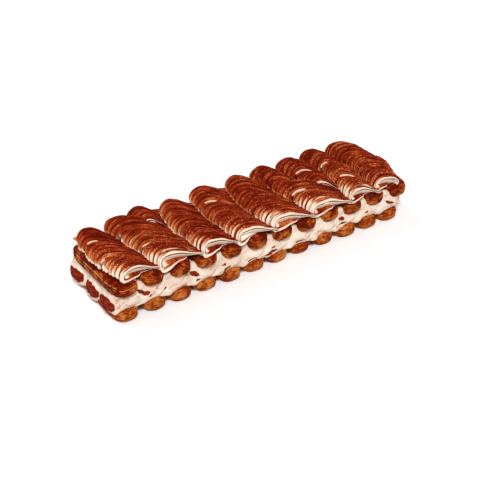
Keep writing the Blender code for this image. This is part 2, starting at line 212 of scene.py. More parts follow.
# Of each row's open front end, in mm: where its crest lies, and how much further forward are its
# chin at the left and its tail at the right, and how far the chin hangs down.
FRONT_ENDS = {
    "row_1": (-42.3, 2.0, 2.0, 0.2), "row_2": (-40.0, 6.5, 6.0, 2.6),
    "row_3": (-42.8, 4.2, 4.0, 2.2), "row_4": (-43.8, 4.0, 4.5, 2.8),
    "row_5": (-43.0, 3.8, 5.5, 2.2), "row_6": (-43.8, 3.0, 4.0, 2.2),
    "row_7": (-44.3, 2.2, 2.5, 1.8), "row_8": (-42.3, 0.8, 2.0, 0.8),
    "row_2_short": (-42.0, 3.0, 4.0, 0.0), "row_6_short": (-42.0, 3.0, 4.0, 0.0),
}
# Of the lower lip of each open front end: how far across it goes, how far back it gets there in
# mm, and how much cocoa lies on it inside.
LOWER_LIPS = {
    "row_1": (0.42, 2.3, 0.9), "row_2": (0.60, 5.5, 1.0), "row_3": (0.47, 2.2, 1.2),
    "row_4": (0.54, 7.0, 0.0), "row_5": (0.56, 1.4, 1.8), "row_6": (0.52, 2.0, 1.8),
    "row_7": (0.46, 2.0, 1.5), "row_8": (0.50, 2.0, 1.4),
}
# How far forward the ribs run from the left to the right, and down the left side: ribs from the
# back, and mm there. The front end has its own.
RIGHT_PLACES = (0.0, 1.5, 5.0, 13.0, LENGTH)
RIGHT_FORWARD = (6.0, 8.0, 12.0, 12.0)
FOOT_PLACES = (0.0, 2.0, 13.0, LENGTH)
FOOT_FORWARD = (0.0, 3.0, 3.0)
FRONT_CREST = 0.80          # height of the open front end's crest
STEP = 1.6 * MM             # how far a new swell starts inside the lip of the last one
STEP_RIBS = 1.3             # over which it comes out again
NOTCH = 3.2 * MM            # depth of the dark notch between the feet of two swells
NOTCH_RIBS = 0.32
NOTCH_SHADE_RIBS = 0.24             # how far the painted shade of the notch goes, in ribs
SPIKE = ("row_1", 2.4, 0.17, 4.5 * MM)  # of cream: row, rib, share of the section, length
SPIKE_REACH = (0.2, 0.03)   # half its width, in ribs and as a share of the section
SOFT_SIZE = 11.0 * MM       # of a row's soft unevenness
SOFT_DEPTH = 0.45 * MM      # and how deep it goes
WOBBLE_SIZE = 9.0 * MM      # of the waves in its ribs
WOBBLE = 0.12               # how far they go, in ribs
LIP_WOBBLE = 0.05           # and how far in a lip
FULL_GROOVE = 1500.0        # grooves fade where this, times the lift of the ribs, is under 1
RECESS = 4.0 * MM           # how far back the underside of a front end lies
# The spine towards which a row's ends close: shares of the width, the points of a ring above
# them, and shares of the height.
SPINE_PLACES = (0.16, 0.5, 0.94)
SPINE_POINTS = (15, 26, 44)
SPINE_HEIGHTS = (0.46, 0.40, 0.14)
# How a row closes at its open front end: what is left of a ring's distance to the spine of the
# end, and distance forward in mm.
SWIRL_RINGS = ((0.97, 0.35), (0.93, 0.62), (0.88, 0.75), (0.83, 0.75), (0.78, 0.62),
               (0.74, 0.40), (0.705, 0.0), (0.675, -0.5), (0.645, -0.8), (0.61, -0.95),
               (0.57, -0.9), (0.535, -0.7), (0.50, -0.35), (0.46, -0.15), (0.42, -0.1),
               (0.37, -0.4), (0.31, -0.9), (0.24, -1.5), (0.16, -2.0), (0.08, -2.3))
END_RINGS = ((0.93, 0.45), (0.82, 0.9), (0.66, 1.3), (0.46, 1.6), (0.24, 1.75))
# Control points of a row's section, from its left foot: share of the width, share of the bulge to
# the left, share of the crest's height.
SECTION_LEFT = ((0.04, 0.00, 0.00), (0.00, 0.40, 0.03), (0.00, 0.95, 0.28), (0.025, 0.35, 0.60),
                (0.11, 0.00, 0.93))
SECTION = (*SECTION_LEFT, (0.27, 0.00, 1.12), (0.46, 0.00, 1.06), (0.63, 0.00, 0.83),
           (0.80, 0.00, 0.50))
LAST_SECTION = (*SECTION_LEFT, (0.30, 0.00, 1.12), (0.56, 0.00, 1.06), (0.82, 0.00, 0.86),
                (0.98, 0.00, 0.52))
# The last row's right foot: distance past its right edge, and share of the crest's height.
LAST_FOOT = ((0.2 * MM, 0.22), (-2.0 * MM, 0.0))
TAIL_END = 0.35             # share of a tail's height where it ends under the next row
FOOT_LEAN = 0.6             # how far the ribs at a row's left foot lean out to the left
FOOT_POINTS = 5.0           # points of a ring over which this fades

# ---- where cocoa lies on the piped rows ----
FLANK_REACH = (0.44, 0.20)  # of the left flank, as shares of the section
FOOT_REACH = (6.4 * MM, 1.6 * MM)       # of its foot, above what the row lies on
RAGGED_SIZE = 5.0 * MM      # of the uneven edges of the cocoa
RAGGED_FOOT = 1.8           # how far its lower edge wanders, in mm
AROUND = 30.0               # about how far it is round the outside of a row, in mm
FLANK_CHANGE = 0.14         # how much barer it is in the last swell, and less bare in the first
RIB_CHANGE = 0.10           # how far the cocoa on one rib differs from the next
# Bare bands on the outside, counted in ribs back from a row's front end. All the long rows have
# the first one.
FIRST_BAND = (-0.2, 0.06)
SECOND_BANDS = {
    "row_2": (0.85, 1.1), "row_5": (0.9, 1.05), "row_6": (0.85, 1.1), "row_7": (0.9, 1.1),
}
# Crescents of bare cream at the joints of a row's swells: joint, from and to as shares of the
# section, and width in ribs.
CRESCENTS = {
    "row_1": ((1, 0.36, 0.58, 0.02), (2, 0.18, 0.38, 0.03)),
    "row_2": ((1, 0.10, 0.28, 0.04), (2, 0.31, 0.46, 0.0)),
    "row_4": ((1, 0.38, 0.62, 0.0),),
    "row_6": ((2, 0.26, 0.54, 0.09),),
    "row_6_short": ((1, 0.28, 0.70, 0.08),),
    "row_7": ((1, 0.24, 0.50, 0.03), (2, 0.40, 0.74, 0.03)),
}
# How many ribs behind each front end show bold stripes on the left flank, and how bold.
STRIPES = {
    "row_1": (2.6, 0.55), "row_2": (3.8, 0.6), "row_3": (3.0, 0.6), "row_4": (2.6, 0.5),
    "row_5": (3.8, 0.6), "row_6": (4.2, 0.6), "row_7": (4.2, 0.6), "row_8": (2.2, 0.5),
}
# How bare of cocoa each row's left flank and foot are in its middle swell.
FLANKS = {
    "row_1": (0.36, 1.0), "row_2": (0.36, 0.95), "row_2_short": (0.10, 0.35),
    "row_3": (0.34, 0.9), "row_4": (0.34, 0.9), "row_5": (0.28, 0.8), "row_6": (0.22, 0.6),
    "row_6_short": (0.15, 0.45), "row_7": (0.18, 0.5), "row_8": (0.06, 0.15),
}

# ---- finishes and stage ----
DULL = 0.03                 # specular level of what hardly shines
CREAM_SHINE = 0.06
FLOOR_SHINE = 0.1
CRUST_STRETCH = (1.3, 2.2, 0.45)        # how long the crust's patterns are along x, y and z
LINE_REACH = 16.0 * MM      # how far a thin line along a rib goes before it changes
LINES_PER_RIB = 3.2
GRAIN_LEVEL = 0.35          # grains lie where a row faces up by more than this
GRAIN_SCALES = ((0.5, 0.5, 0.35), (1.4, 1.4, 0.9))      # of the least and of the largest
FLOOR_REACH = 4.0
LIGHTS = (                  # name, share of the main light, direction, spread in degrees
    ("key_light", 1.0, (0.35, 0.62, -0.95), 14.0),
    ("back_light", 0.25, (0.3, -0.7, -0.8), 30.0),
)
SENSOR_WIDTH = 36.0
CAMERA_SEES = (0.05, 30.0)  # from and to
CAMERA_PLACE = (-0.55079, -0.78368, 0.61177)
CAMERA_TOWARDS = (0.48282, 0.69268, -0.53580)


def smooth_step(low, high, value):
    share = np.clip((value - low) / (high - low), 0.0, 1.0)
    return share * share * (3.0 - 2.0 * share)


def field(points, size, seed=0.0):
    """Smooth noise between about -1 and 1 at each point, with features of a size in metres."""
    shift = Vector((seed * 3.17, seed * 1.71, seed * 2.39))
    return np.array([noise.noise(Vector(point) / size + shift) for point in points])


def layout_shift():
    """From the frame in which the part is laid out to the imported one, centred on its base."""
    low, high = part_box("ladyfinger_upper_01")
    middle = (low + high) / 2
    return Vector((middle.x - TOP_ROW_FIRST_X, middle.y - TOP_ROW_FIRST_MIDDLE_Y, 0.0))


def link_object(name, data):
    obj = bpy.data.objects.new(name, data)
    bpy.context.scene.collection.objects.link(obj)
    return obj


def mesh_object(name, points, faces, smooth=True):
    mesh = bpy.data.meshes.new(name)
    mesh.from_pydata([tuple(point) for point in points], [], faces)
    if smooth:
        mesh.shade_smooth()
    return link_object(name, mesh)


def bmesh_object(name, bm):
    """Ends a bmesh in an object of its own."""
    mesh = bpy.data.meshes.new(name)
    bm.to_mesh(mesh)
    bm.free()
    return link_object(name, mesh)


def store(mesh, name, values):
    """Keeps a number, or a vector, for each vertex, for the nodes to read."""
    values = np.asarray(values, np.float32)
    kind, key = ("FLOAT_VECTOR", "vector") if values.ndim == 2 else ("FLOAT", "value")
    mesh.attributes.new(name, kind, "POINT").data.foreach_set(key, values.ravel())


def read_vectors(items, key):
    vectors = np.zeros(len(items) * 3)
    items.foreach_get(key, vectors)
    return vectors.reshape(-1, 3)


def set_points(mesh, points):
    mesh.vertices.foreach_set("co", points.astype(np.float32).ravel())
    mesh.update()


def apply_modifiers(obj):
    graph = bpy.context.evaluated_depsgraph_get()
    mesh = bpy.data.meshes.new_from_object(obj.evaluated_get(graph))
    obj.modifiers.clear()
    obj.data = mesh
    return obj


def finish_piece(obj, nodes):
    """Puts a piece on its body and hides the CAD nodes that it stands for."""
    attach(obj, BODY)
    if nodes:
        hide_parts(*nodes)


# ---- node helpers ----

class Value:
    """A number in a node tree; sums and products with it make Math nodes."""

    def __init__(self, tree, socket):
        self.tree = tree
        self.socket = socket

    def apply(self, operation, other=0.0, swapped=False):
        first, second = (other, self) if swapped else (self, other)
        node = make_node(self.tree, "ShaderNodeMath", {0: first, 1: second}, operation=operation)
        return Value(self.tree, node.outputs[0])

    def __add__(self, other):
        return self.apply("ADD", other)

    def __sub__(self, other):
        return self.apply("SUBTRACT", other)

    def __rsub__(self, other):
        return self.apply("SUBTRACT", other, swapped=True)

    def __mul__(self, other):
        return self.apply("MULTIPLY", other)

    def __truediv__(self, other):
        return self.apply("DIVIDE", other)

    def __rtruediv__(self, other):
        return self.apply("DIVIDE", other, swapped=True)

    def clamped(self):
        """The result of a sum or product, kept between 0 and 1."""
        self.socket.node.use_clamp = True
        return self


def feed(tree, socket, value):
    if isinstance(value, Value):
        value = value.socket
    if isinstance(value, bpy.types.NodeSocket):
        tree.links.new(value, socket)
    elif socket.type == "RGBA":
        socket.default_value = (*value[:3], 1.0)
    else:
        socket.default_value = value


def make_node(tree, kind, inputs=None, **settings):
    node = tree.nodes.new(kind)
    for name, value in settings.items():
        setattr(node, name, value)
    for name, value in (inputs or {}).items():
        feed(tree, node.inputs[name], value)
    return node


def attribute(tree, name):
    node = make_node(tree, "ShaderNodeAttribute", attribute_name=name)
    return Value(tree, node.outputs["Fac"])


def noise_value(tree, where, size, detail=3.0, roughness=0.55, distortion=0.0):
    node = make_node(tree, "ShaderNodeTexNoise",
                     {"Vector": where, "Scale": 1.0 / size, "Detail": detail,
                      "Roughness": roughness, "Distortion": distortion})
    return Value(tree, node.outputs["Fac"])


def seeded_noise(tree, where, seed, scale, detail, roughness=0.5):
    node = make_node(tree, "ShaderNodeTexNoise",
                     {"Vector": where, "W": seed, "Scale": scale, "Detail": detail,
                      "Roughness": roughness}, noise_dimensions="4D")
    return Value(tree, node.outputs["Fac"])


def rib_lines(tree, where, count):
    """Noise that changes from line to line across a rib, and slowly along it."""
    slow = make_node(tree, "ShaderNodeVectorMath", {0: where, "Scale": 1.0 / LINE_REACH},
                     operation="SCALE").outputs[0]
    return seeded_noise(tree, slow, count * LINES_PER_RIB, 1.0, 2.0, 0.6)


def smooth_ramp(value, low, high):
    """From 0 to 1 while a value goes from low to high, with soft ends."""
    node = make_node(value.tree, "ShaderNodeMapRange",
                     {"Value": value, "From Min": low, "From Max": high},
                     interpolation_type="SMOOTHSTEP")
    return Value(value.tree, node.outputs["Result"])


def between(value, at_none, at_full):
    """From one number to another while a value goes from 0 to 1."""
    node = make_node(value.tree, "ShaderNodeMapRange",
                     {"Value": value, "To Min": at_none, "To Max": at_full})
    return Value(value.tree, node.outputs["Result"])


def colour_ramp(value, stops):
    node = make_node(value.tree, "ShaderNodeValToRGB", {"Fac": value})
    elements = node.color_ramp.elements
    while len(elements) < len(stops):
        elements.new(0.5)
    for element, (place, colour) in zip(elements, stops):
        element.position = place
        element.color = (*colour[:3], 1.0)
    return node.outputs["Color"]


def blend_colour(share, first, second):
    node = make_node(share.tree, "ShaderNodeMix", {0: share, 6: first, 7: second},
                     data_type="RGBA")
    return node.outputs[2]


def upward(tree):
    """How far a surface faces up, from -1 to 1."""
    facing = make_node(tree, "ShaderNodeNewGeometry").outputs["Normal"]
    split = make_node(tree, "ShaderNodeSeparateXYZ", {0: facing})
    return Value(tree, split.outputs["Z"])


def new_material(name, tint):
    material = bpy.data.materials.new(name)
    material.use_nodes = True
    material.diffuse_color = (*tint[:3], 1.0)
    tree = material.node_tree
    shader = tree.nodes["Principled BSDF"]
    where = make_node(tree, "ShaderNodeTexCoord").outputs["Object"]
    return material, tree, shader, where


def set_surface(tree, shader, colour, rough, specular=DULL):
    feed(tree, shader.inputs["Base Color"], colour)
    feed(tree, shader.inputs["Roughness"], rough)
    feed(tree, shader.inputs["Specular IOR Level"], specular)


def add_bump(tree, shader, height, distance, strength):
    bump = make_node(tree, "ShaderNodeBump",
                     {"Strength": strength, "Distance": distance, "Height": height})
    tree.links.new(bump.outputs["Normal"], shader.inputs["Normal"])


def node_group(name, kinds):
    """An empty Geometry Nodes group with named inputs, and the sockets that hold their values."""
    tree = bpy.data.node_groups.new(name, "GeometryNodeTree")
    for label, kind in {"Geometry": "Geometry", **kinds, "Finish": "Material"}.items():
        tree.interface.new_socket(label, in_out="INPUT", socket_type=f"NodeSocket{kind}")
    tree.interface.new_socket("Geometry", in_out="OUTPUT", socket_type="NodeSocketGeometry")
    return tree, tree.nodes.new("NodeGroupInput").outputs


def end_group(tree, geometry, finish):
    """Realizes a group's geometry, sets its material and makes it the group's result."""
    real = make_node(tree, "GeometryNodeRealizeInstances", {0: geometry})
    finished = make_node(tree, "GeometryNodeSetMaterial",
                         {"Geometry": real.outputs[0], "Material": finish})
    tree.links.new(finished.outputs[0], tree.nodes.new("NodeGroupOutput").inputs[0])
    return tree


def named_attribute(tree, name, kind="FLOAT"):
    node = make_node(tree, "GeometryNodeInputNamedAttribute", {"Name": name}, data_type=kind)
    return node.outputs["Attribute"]


def push_out(tree, geometry, direction, distance):
    offset = make_node(tree, "ShaderNodeVectorMath", {0: direction, "Scale": distance},
                       operation="SCALE")
    return make_node(tree, "GeometryNodeSetPosition",
                     {"Geometry": geometry, "Offset": offset.outputs[0]}).outputs[0]


def run_tree(obj, tree, values):
    """Adds a Geometry Nodes modifier with values for its named inputs, and applies it."""
    modifier = obj.modifiers.new(tree.name, "NODES")
    modifier.node_group = tree
    for item in tree.interface.items_tree:
        if item.item_type == "SOCKET" and item.in_out == "INPUT" and item.name in values:
            modifier[item.identifier] = values[item.name]
    return apply_modifiers(obj)


# ---- materials ----

def dusted_cream_material(settings):
    """Piped cream under cocoa: bare, thinly or thickly dusted by the piece's own attributes, with
    painted shade in its grooves and in the notches between its swells.
    """
    material, tree, shader, where = new_material("piped_cream_with_cocoa", settings.cocoa_dark)
    dust, groove = attribute(tree, "dust"), attribute(tree, "groove")
    fine = noise_value(tree, where, 1.1 * MM, 4.0, 0.7)
    patchy = noise_value(tree, where, 9.0 * MM)
    speck = noise_value(tree, where, 1.2 * MM, 1.0, 0.6)
    lines = rib_lines(tree, where, attribute(tree, "rib_count"))
    # Less lies on steep faces, and more in the grooves.
    cover = dust * 0.76 - (0.75 - upward(tree)) * 0.22 + groove * 0.30
    cover = cover - (lines - 0.52) * (dust + 0.1) * 1.5
    cover = cover + (fine - 0.5) * 0.65 * (dust + 0.25) + (patchy - 0.5) * 0.5
    # Specks of cream show through where the cocoa is worn, but never as white as bare cream.
    speck_limit = 0.70 - attribute(tree, "worn") * 0.13
    specks = ((speck - speck_limit).clamped() * 3.5).apply("MINIMUM", 0.42)
    cover = (cover - specks).clamped().apply("MAXIMUM", dust * 0.36)
    colour = colour_ramp(cover, (
        (0.12, settings.cream_colour),
        (0.25, settings.cocoa_film),
        (0.42, settings.cocoa_light),
        (0.66, settings.cocoa_middle),
        (1.00, settings.cocoa_dark),
    ))
    # Painted shade darkens each groove towards the thickest cocoa, even on bare cream, on top of
    # the cocoa that lies there.
    shadow = (groove * (dust * 0.6 + 0.55)).clamped()
    colour = blend_colour(shadow, colour, settings.cocoa_dark)
    # Painted shade: the notches between the feet of two swells go near black.
    colour = blend_colour(attribute(tree, "pit"), colour, settings.notch)
    set_surface(tree, shader, colour, between(cover, 0.42, 0.88))
    add_bump(tree, shader, noise_value(tree, where, 0.6 * MM, 2.0, 0.7) * cover, 0.35 * MM, 0.7)
    return material


def stroke_space(tree, where):
    """Coordinates that draw noise out along the strokes in which the cream was spread."""
    cosine, sine = math.cos(STROKE_LEAN), math.sin(STROKE_LEAN)
    along, across = (
        Value(tree, make_node(tree, "ShaderNodeVectorMath", {0: where, 1: direction},
                              operation="DOT_PRODUCT").outputs["Value"])
        for direction in ((cosine, 0.0, sine), (-sine, 0.0, cosine)))
    split = make_node(tree, "ShaderNodeSeparateXYZ", {0: where})
    return make_node(tree, "ShaderNodeCombineXYZ",
                     {0: along * STROKE_DRAW, 1: split.outputs["Y"], 2: across}).outputs[0]


def cream_material(settings):
    """Bare cream with cocoa on the lobes and the spots, and thin streaks of what it soaked up."""
    material, tree, shader, where = new_material("layer_cream", settings.colour)
    soft = noise_value(tree, where, 14.0 * MM)
    streak = noise_value(tree, stroke_space(tree, where), 2.4 * MM, 4.0, 0.6, 0.5)
    fine = noise_value(tree, where, 1.2 * MM, 3.0, 0.65)
    mottled = noise_value(tree, where, 3.0 * MM, 3.0, 0.65)
    pale = blend_colour(smooth_ramp(soft, 0.40, 0.66), settings.colour, settings.shade)
    soaked = smooth_ramp(streak, 0.56, 0.64) * smooth_ramp(soft, 0.36, 0.52)
    tinted = blend_colour(soaked * 0.8, pale, settings.streak)
    cocoa = blend_colour(smooth_ramp(mottled, 0.38, 0.66), settings.cocoa_dark,
                         settings.cocoa_light)
    dusted = smooth_ramp(attribute(tree, "dust") + (fine - 0.5) * 0.6, 0.34, 0.62)
    set_surface(tree, shader, blend_colour(dusted, tinted, cocoa), between(dusted, 0.38, 0.85),
                specular=CREAM_SHINE)
    add_bump(tree, shader, streak + fine * 0.25, 1.2 * MM, 0.6)
    return material


def ladyfinger_material(name, settings, soaked):
    """Baked sponge: a dark wet flat side on the soaked ones, golden crust that wrinkles."""
    material, tree, shader, where = new_material(name, settings.crust)
    dome = attribute(tree, "dome")
    stretched = make_node(tree, "ShaderNodeMapping",
                          {"Vector": where, "Scale": CRUST_STRETCH},
                          vector_type="TEXTURE").outputs[0]
    wrinkle = noise_value(tree, stretched, 3.4 * MM, 5.0, 0.65, 1.2)
    patch = noise_value(tree, where, 8.0 * MM, 3.0, 0.6, 0.5)
    fine = noise_value(tree, where, 0.9 * MM, 3.0, 0.7)
    tone = wrinkle * 2.1 + (patch * 1.9 - 1.50)
    if soaked:
        tone = tone + (dome - 0.45) * 0.45
        stops = ((0.22, settings.dark), (0.42, settings.soaked), (0.60, settings.crust),
                 (0.84, settings.golden))
    else:
        tone = tone - (dome - 0.10) * 0.22
        stops = ((0.22, settings.soaked), (0.42, settings.crust), (0.64, settings.golden),
                 (0.88, settings.pale))
    colour = colour_ramp(tone, stops)
    if soaked:
        colour = add_flat_side(tree, settings, colour, tone, wrinkle, patch)
    bright = make_node(tree, "ShaderNodeHueSaturation",
                       {"Color": colour, "Value": (fine - 0.5) * 0.6 + 1.0})
    rough = between(fine, 0.50, 0.72) if soaked else between(fine, 0.60, 0.88)
    set_surface(tree, shader, bright.outputs["Color"], rough)
    add_bump(tree, shader, wrinkle + fine * 0.4, 0.55 * MM, 0.6)
    return material


def add_flat_side(tree, settings, colour, tone, wrinkle, patch):
    """The wet flat side and its thin seam: clean on the neat ladyfinger, ragged on the others."""
    seam_gap, neat = attribute(tree, "seam_gap"), attribute(tree, "neat")
    gap = seam_gap + (wrinkle - 0.5) * ((1.0 - neat) * 9.0)
    flat = smooth_ramp(gap / (1.6 - neat * 1.1), 1.0, -0.6)
    wet = colour_ramp(tone, ((0.20, settings.dark), (0.48, settings.wet),
                             (0.66, settings.crust), (0.90, settings.golden)))
    colour = blend_colour(flat, colour, wet)
    wavy = seam_gap + (patch - 0.5) * 3.0
    line = smooth_ramp(wavy.apply("ABSOLUTE"), 0.6, 0.15)
    kept = smooth_ramp(patch, 0.38, 0.50) * (neat + 0.15).clamped()
    return blend_colour(line * kept, colour, settings.seam)


def cocoa_grain_material(settings):
    material, tree, shader, where = new_material("cocoa_grains", settings.dark)
    shade = noise_value(tree, where, 6.0 * MM, 2.0)
    colour = colour_ramp(shade, ((0.35, settings.dark), (0.65, settings.light)))
    set_surface(tree, shader, colour, 0.9)
    return material


def floor_material(settings):
    material, tree, shader, where = new_material("pale_floor", settings.floor_colour)
    dimmer = [0.985 * value for value in settings.floor_colour]
    colour = blend_colour(noise_value(tree, where, 0.4, 2.0), settings.floor_colour, dimmer)
    set_surface(tree, shader, colour, 0.9, specular=FLOOR_SHINE)
    return material


# ---- ladyfingers ----

def row_spots(first_x, pitch, seed):
    """Size and place of each ladyfinger in a row, from the same seeded numbers as the CAD part."""
    rng = np.random.default_rng(seed)
    spots = []
    for index in range(FINGERS_IN_ROW):
        size = 1.0 + UNEVEN_SIZE * rng.uniform(-1, 1, 3)
        out = UNEVEN_PLACE * rng.uniform(-1, 1)
        turn = UNEVEN_TURN * rng.uniform(-1, 1)
        spots.append({
            "size": [FINGER_LENGTH * size[0], FINGER_WIDTH * size[1], FINGER_HEIGHT * size[2]],
            "x": first_x + index * pitch,
            "y": FINGER_MIDDLE_Y + out,
            "turn": turn,
        })
    return spots


def lower_spots():
    spots = row_spots(BOTTOM_ROW_FIRST_X, BOTTOM_ROW_PITCH, UNEVEN_SEED)
    spots[0]["turn"] -= BOTTOM_ROW_SPLAY
    return spots


def upper_spots():
    spots = row_spots(TOP_ROW_FIRST_X, TOP_ROW_PITCH, UNEVEN_SEED + 1)
    spots[0]["size"][0] = TOP_ROW_FIRST_LENGTH
    spots[0]["y"] = TOP_ROW_FIRST_MIDDLE_Y
    spots[0]["roll"] = FIRST_ROLL
    spots[-1]["x"] += TOP_ROW_LAST_OUT
    return spots


def flat_top(x):
    """Height of the flat side of the upper row."""
    share = (x - TOP_ROW_FIRST_X) / (TOP_ROW_PITCH * (FINGERS_IN_ROW - 1))
    low = TOP_ROW_LOW_LEFT + (TOP_ROW_LOW_RIGHT - TOP_ROW_LOW_LEFT) * share
    return low + FINGER_HEIGHT


def finger_placement(spot, upper):
    turn = Matrix.Rotation(spot["turn"], 4, "Z")
    if not upper:
        return Matrix.Translation((spot["x"], spot["y"], 0.0)) @ turn
    flip = Matrix.Rotation(math.pi - spot.get("roll", 0.0), 4, "Y")
    return Matrix.Translation((spot["x"], spot["y"], flat_top(spot["x"]))) @ turn @ flip


def ladyfinger_mesh(name, spot, upper):
    """A blunt capsule along Y with one flat side and a thin seam along the flat side's edge."""
    length, width, height = spot["size"]
    full_height = height / (0.5 + FLAT_SIDE)
    bm = bmesh.new()
    bmesh.ops.create_uvsphere(bm, u_segments=FINGER_SIDES, v_segments=FINGER_BANDS, radius=1.0,
                              matrix=Matrix.Rotation(math.radians(90), 4, "X"))
    gaps, domes = [], []
    for vert in bm.verts:
        along = max(-1.0, min(1.0, vert.co.y))
        around = math.hypot(vert.co.x, vert.co.z)
        angle = math.atan2(vert.co.z, vert.co.x)
        reach = around ** ROUNDER_FULLNESS
        cosine, sine = math.cos(angle), math.sin(angle)
        x = 0.5 * width * reach * math.copysign(abs(cosine) ** SECTION_FULLNESS, cosine)
        z = 0.5 * full_height * reach * math.copysign(abs(sine) ** SECTION_FULLNESS, sine)
        y = 0.5 * length * math.copysign(abs(along) ** ROUNDER_LENGTH, along)
        above = z + FLAT_SIDE * full_height
        seam = 0.0
        if upper:
            at_end = float(smooth_step(*ENDS_FROM, abs(along)))
            seam = SEAM_LOW + (SEAM_END_LOW - SEAM_LOW) * at_end
        rim = math.exp(-((above - seam) / SEAM_HALF_WIDTH) ** 2) if above > -0.9 * MM else 0.0
        crown = EDGE_DROP * min(1.0, abs(x) / (0.41 * width)) ** 4
        crown += END_DROP * max(0.0, 2.0 * abs(y) / length - 0.84) / 0.16
        vert.co = Vector((x, y, max(above, crown if upper else 0.0)))
        vert.co.x += math.copysign(SEAM_OUT * rim, x)
        gaps.append((above - seam) / MM)
        domes.append(max(0.0, above) / height)
    obj = bmesh_object(name, bm)
    obj.data.transform(finger_placement(spot, upper))
    obj.data.transform(Matrix.Translation(layout_shift()))
    store(obj.data, "seam_gap", gaps)
    store(obj.data, "neat", np.full(len(gaps), float("roll" in spot)))
    store(obj.data, "dome", domes)
    obj.data.shade_smooth()
    return obj


def crust_tree():
    """Geometry Nodes that wrinkle a ladyfinger's crust and set its finish."""
    tree, given = node_group("Ladyfinger Crust", {
        "Wrinkle Depth": "Float", "Wrinkle Size": "Float", "Sag Depth": "Float",
        "Seed": "Float"})
    place = tree.nodes.new("GeometryNodeInputPosition").outputs[0]
    normal = tree.nodes.new("GeometryNodeInputNormal").outputs[0]
    flattened = make_node(tree, "ShaderNodeVectorMath", {0: place, 1: WRINKLE_FLATTEN},
                          operation="MULTIPLY").outputs[0]
    wrinkle_scale = 1.0 / Value(tree, given["Wrinkle Size"])
    wrinkles = seeded_noise(tree, flattened, given["Seed"], wrinkle_scale, 3.0)
    wrinkles = (wrinkles - WRINKLE_LEVEL) * given["Wrinkle Depth"]
    sag = seeded_noise(tree, place, given["Seed"], SAG_SCALE, 1.0)
    sag = (sag - SAG_LEVEL) * given["Sag Depth"]
    moved = push_out(tree, given["Geometry"], normal, wrinkles + sag)
    return end_group(tree, moved, given["Finish"])


# ---- the piped rows ----

def back_curve(name, y):
    """Quarter of a circle that rounds the back of a row, from 0 at its end to 1."""
    if name not in BACKS:
        return 1.0
    share = np.clip((BACKS[name] * MM - y) / BACK_ROUNDING, 0.0, 1.0)
    return np.sqrt(1.0 - (1.0 - share) ** 2)


def height_share(name, y):
    return BACK_END + (1.0 - BACK_END) * back_curve(name, y)


def row_y(name, phase):
    """Y of a ring at its crest, counted in ribs from the back."""
    places = np.arange(SWELLS + 1) * RIBS_PER_SWELL
    return float(np.interp(phase, places, (*START_Y, FRONT_ENDS[name][0]))) * MM


def swell_place(phase):
    """Place in a swell from 0 to 1, and the swell's number; a joint ends the swell before it."""
    number = min(SWELLS - 1, max(0, math.ceil(phase / RIBS_PER_SWELL - TINY) - 1))
    return phase / RIBS_PER_SWELL - number, number


def long_edge(name, y):
    """Left edge of a long row, smoothed over the places where it was measured."""
    places = y / MM + np.linspace(-EDGE_REACH, EDGE_REACH, 5)
    found = np.interp(places, EDGE_PLACES[::-1], EDGES[name][::-1])
    return float(found.mean()) * MM + BACK_INSET * (1.0 - back_curve(name, y))


def short_edge(name, y):
    at_back, at_end, end_y, _ = SHORT_ROWS[name]
    own = float(np.interp(y, (end_y * MM, START_Y[0] * MM), (at_end, at_back))) * MM
    return own + BACK_INSET * (1.0 - back_curve(name, y))


def left_edge(name, y):
    """Left edge of a row; past its end, a short row's edge is that of the row to its right."""
    if name in EDGES:
        return long_edge(name, y)
    end, neighbour = SHORT_ROWS[name][2] * MM, SHORT_ROWS[name][3]
    own = short_edge(name, y)
    share = float(np.interp(y, (end, end + CLOSING), (0.0, 1.0)))
    return long_edge(neighbour, y) * (1.0 - share) + own * share


def rib_place(name, phase, across, share):
    """Y along a rib: from the shoulder it runs forward to the right and down the left side."""
    _, chin, tail, _ = FRONT_ENDS[name]
    right = float(np.interp(phase, RIGHT_PLACES, (*RIGHT_FORWARD, tail))) * MM
    foot = float(np.interp(phase, FOOT_PLACES, (*FOOT_FORWARD, chin))) * MM
    y = row_y(name, phase) - right * smooth_step(0.02, 0.95, across)
    return y - foot * (1.0 - smooth_step(0.04, 0.34, share))


def under_place(name, phase, across):
    """Y of the underside, which lies back behind the crest at the open front end."""
    share = np.where(across < 0.5, 0.9 * smooth_step(0.30, 0.46, across), 1.0)
    plain = rib_place(name, phase, across, share)
    if name not in EDGES:
        return plain
    ending = float(smooth_step(LENGTH - 3.5, LENGTH, phase))
    reach, back, _ = LOWER_LIPS[name]
    lip = row_y(name, phase) - FRONT_ENDS[name][1] * MM
    lip = lip + back * MM * smooth_step(0.06, reach, across)
    lip = lip + RECESS * smooth_step(reach, reach + 0.12, across)
    by_tail = smooth_step(0.86, 1.0, across)
    lip = lip * (1.0 - by_tail) + plain * by_tail
    return plain * (1.0 - ending) + lip * ending


def pipe_base(name, x, y, across):
    hanging = smooth_step(-42.5 * MM, -47.0 * MM, y) * smooth_step(0.46, 0.25, across)
    return flat_top(x) + REST_GAP - FRONT_ENDS[name][3] * MM * hanging


def curve_weights(controls, samples):
    """Weights of each control point at even places along a clamped cubic B-spline."""
    degree = 3
    knots = np.concatenate((np.zeros(degree), np.linspace(0, 1, controls - degree + 1),
                            np.ones(degree)))
    places = np.linspace(0.0, 1.0, samples)
    places[-1] = 1.0 - 1e-9
    table = np.array([(places >= low) & (places < high)
                      for low, high in zip(knots, knots[1:])], float)
    for order in range(1, degree + 1):
        rows = []
        for index in range(len(table) - 1):
            left_gap = knots[index + order] - knots[index]
            right_gap = knots[index + order + 1] - knots[index + 1]
            left = (places - knots[index]) / left_gap if left_gap > 0 else 0.0
            right = (knots[index + order + 1] - places) / right_gap if right_gap > 0 else 0.0
            rows.append(left * table[index] + right * table[index + 1])
        table = np.array(rows)
    return table.T


Ring = namedtuple("Ring", "points outward dust count lift pit")
RING_POINTS = POINTS_OVER + POINTS_UNDER
WEIGHTS = curve_weights(len(SECTION) + 2, POINTS_OVER)
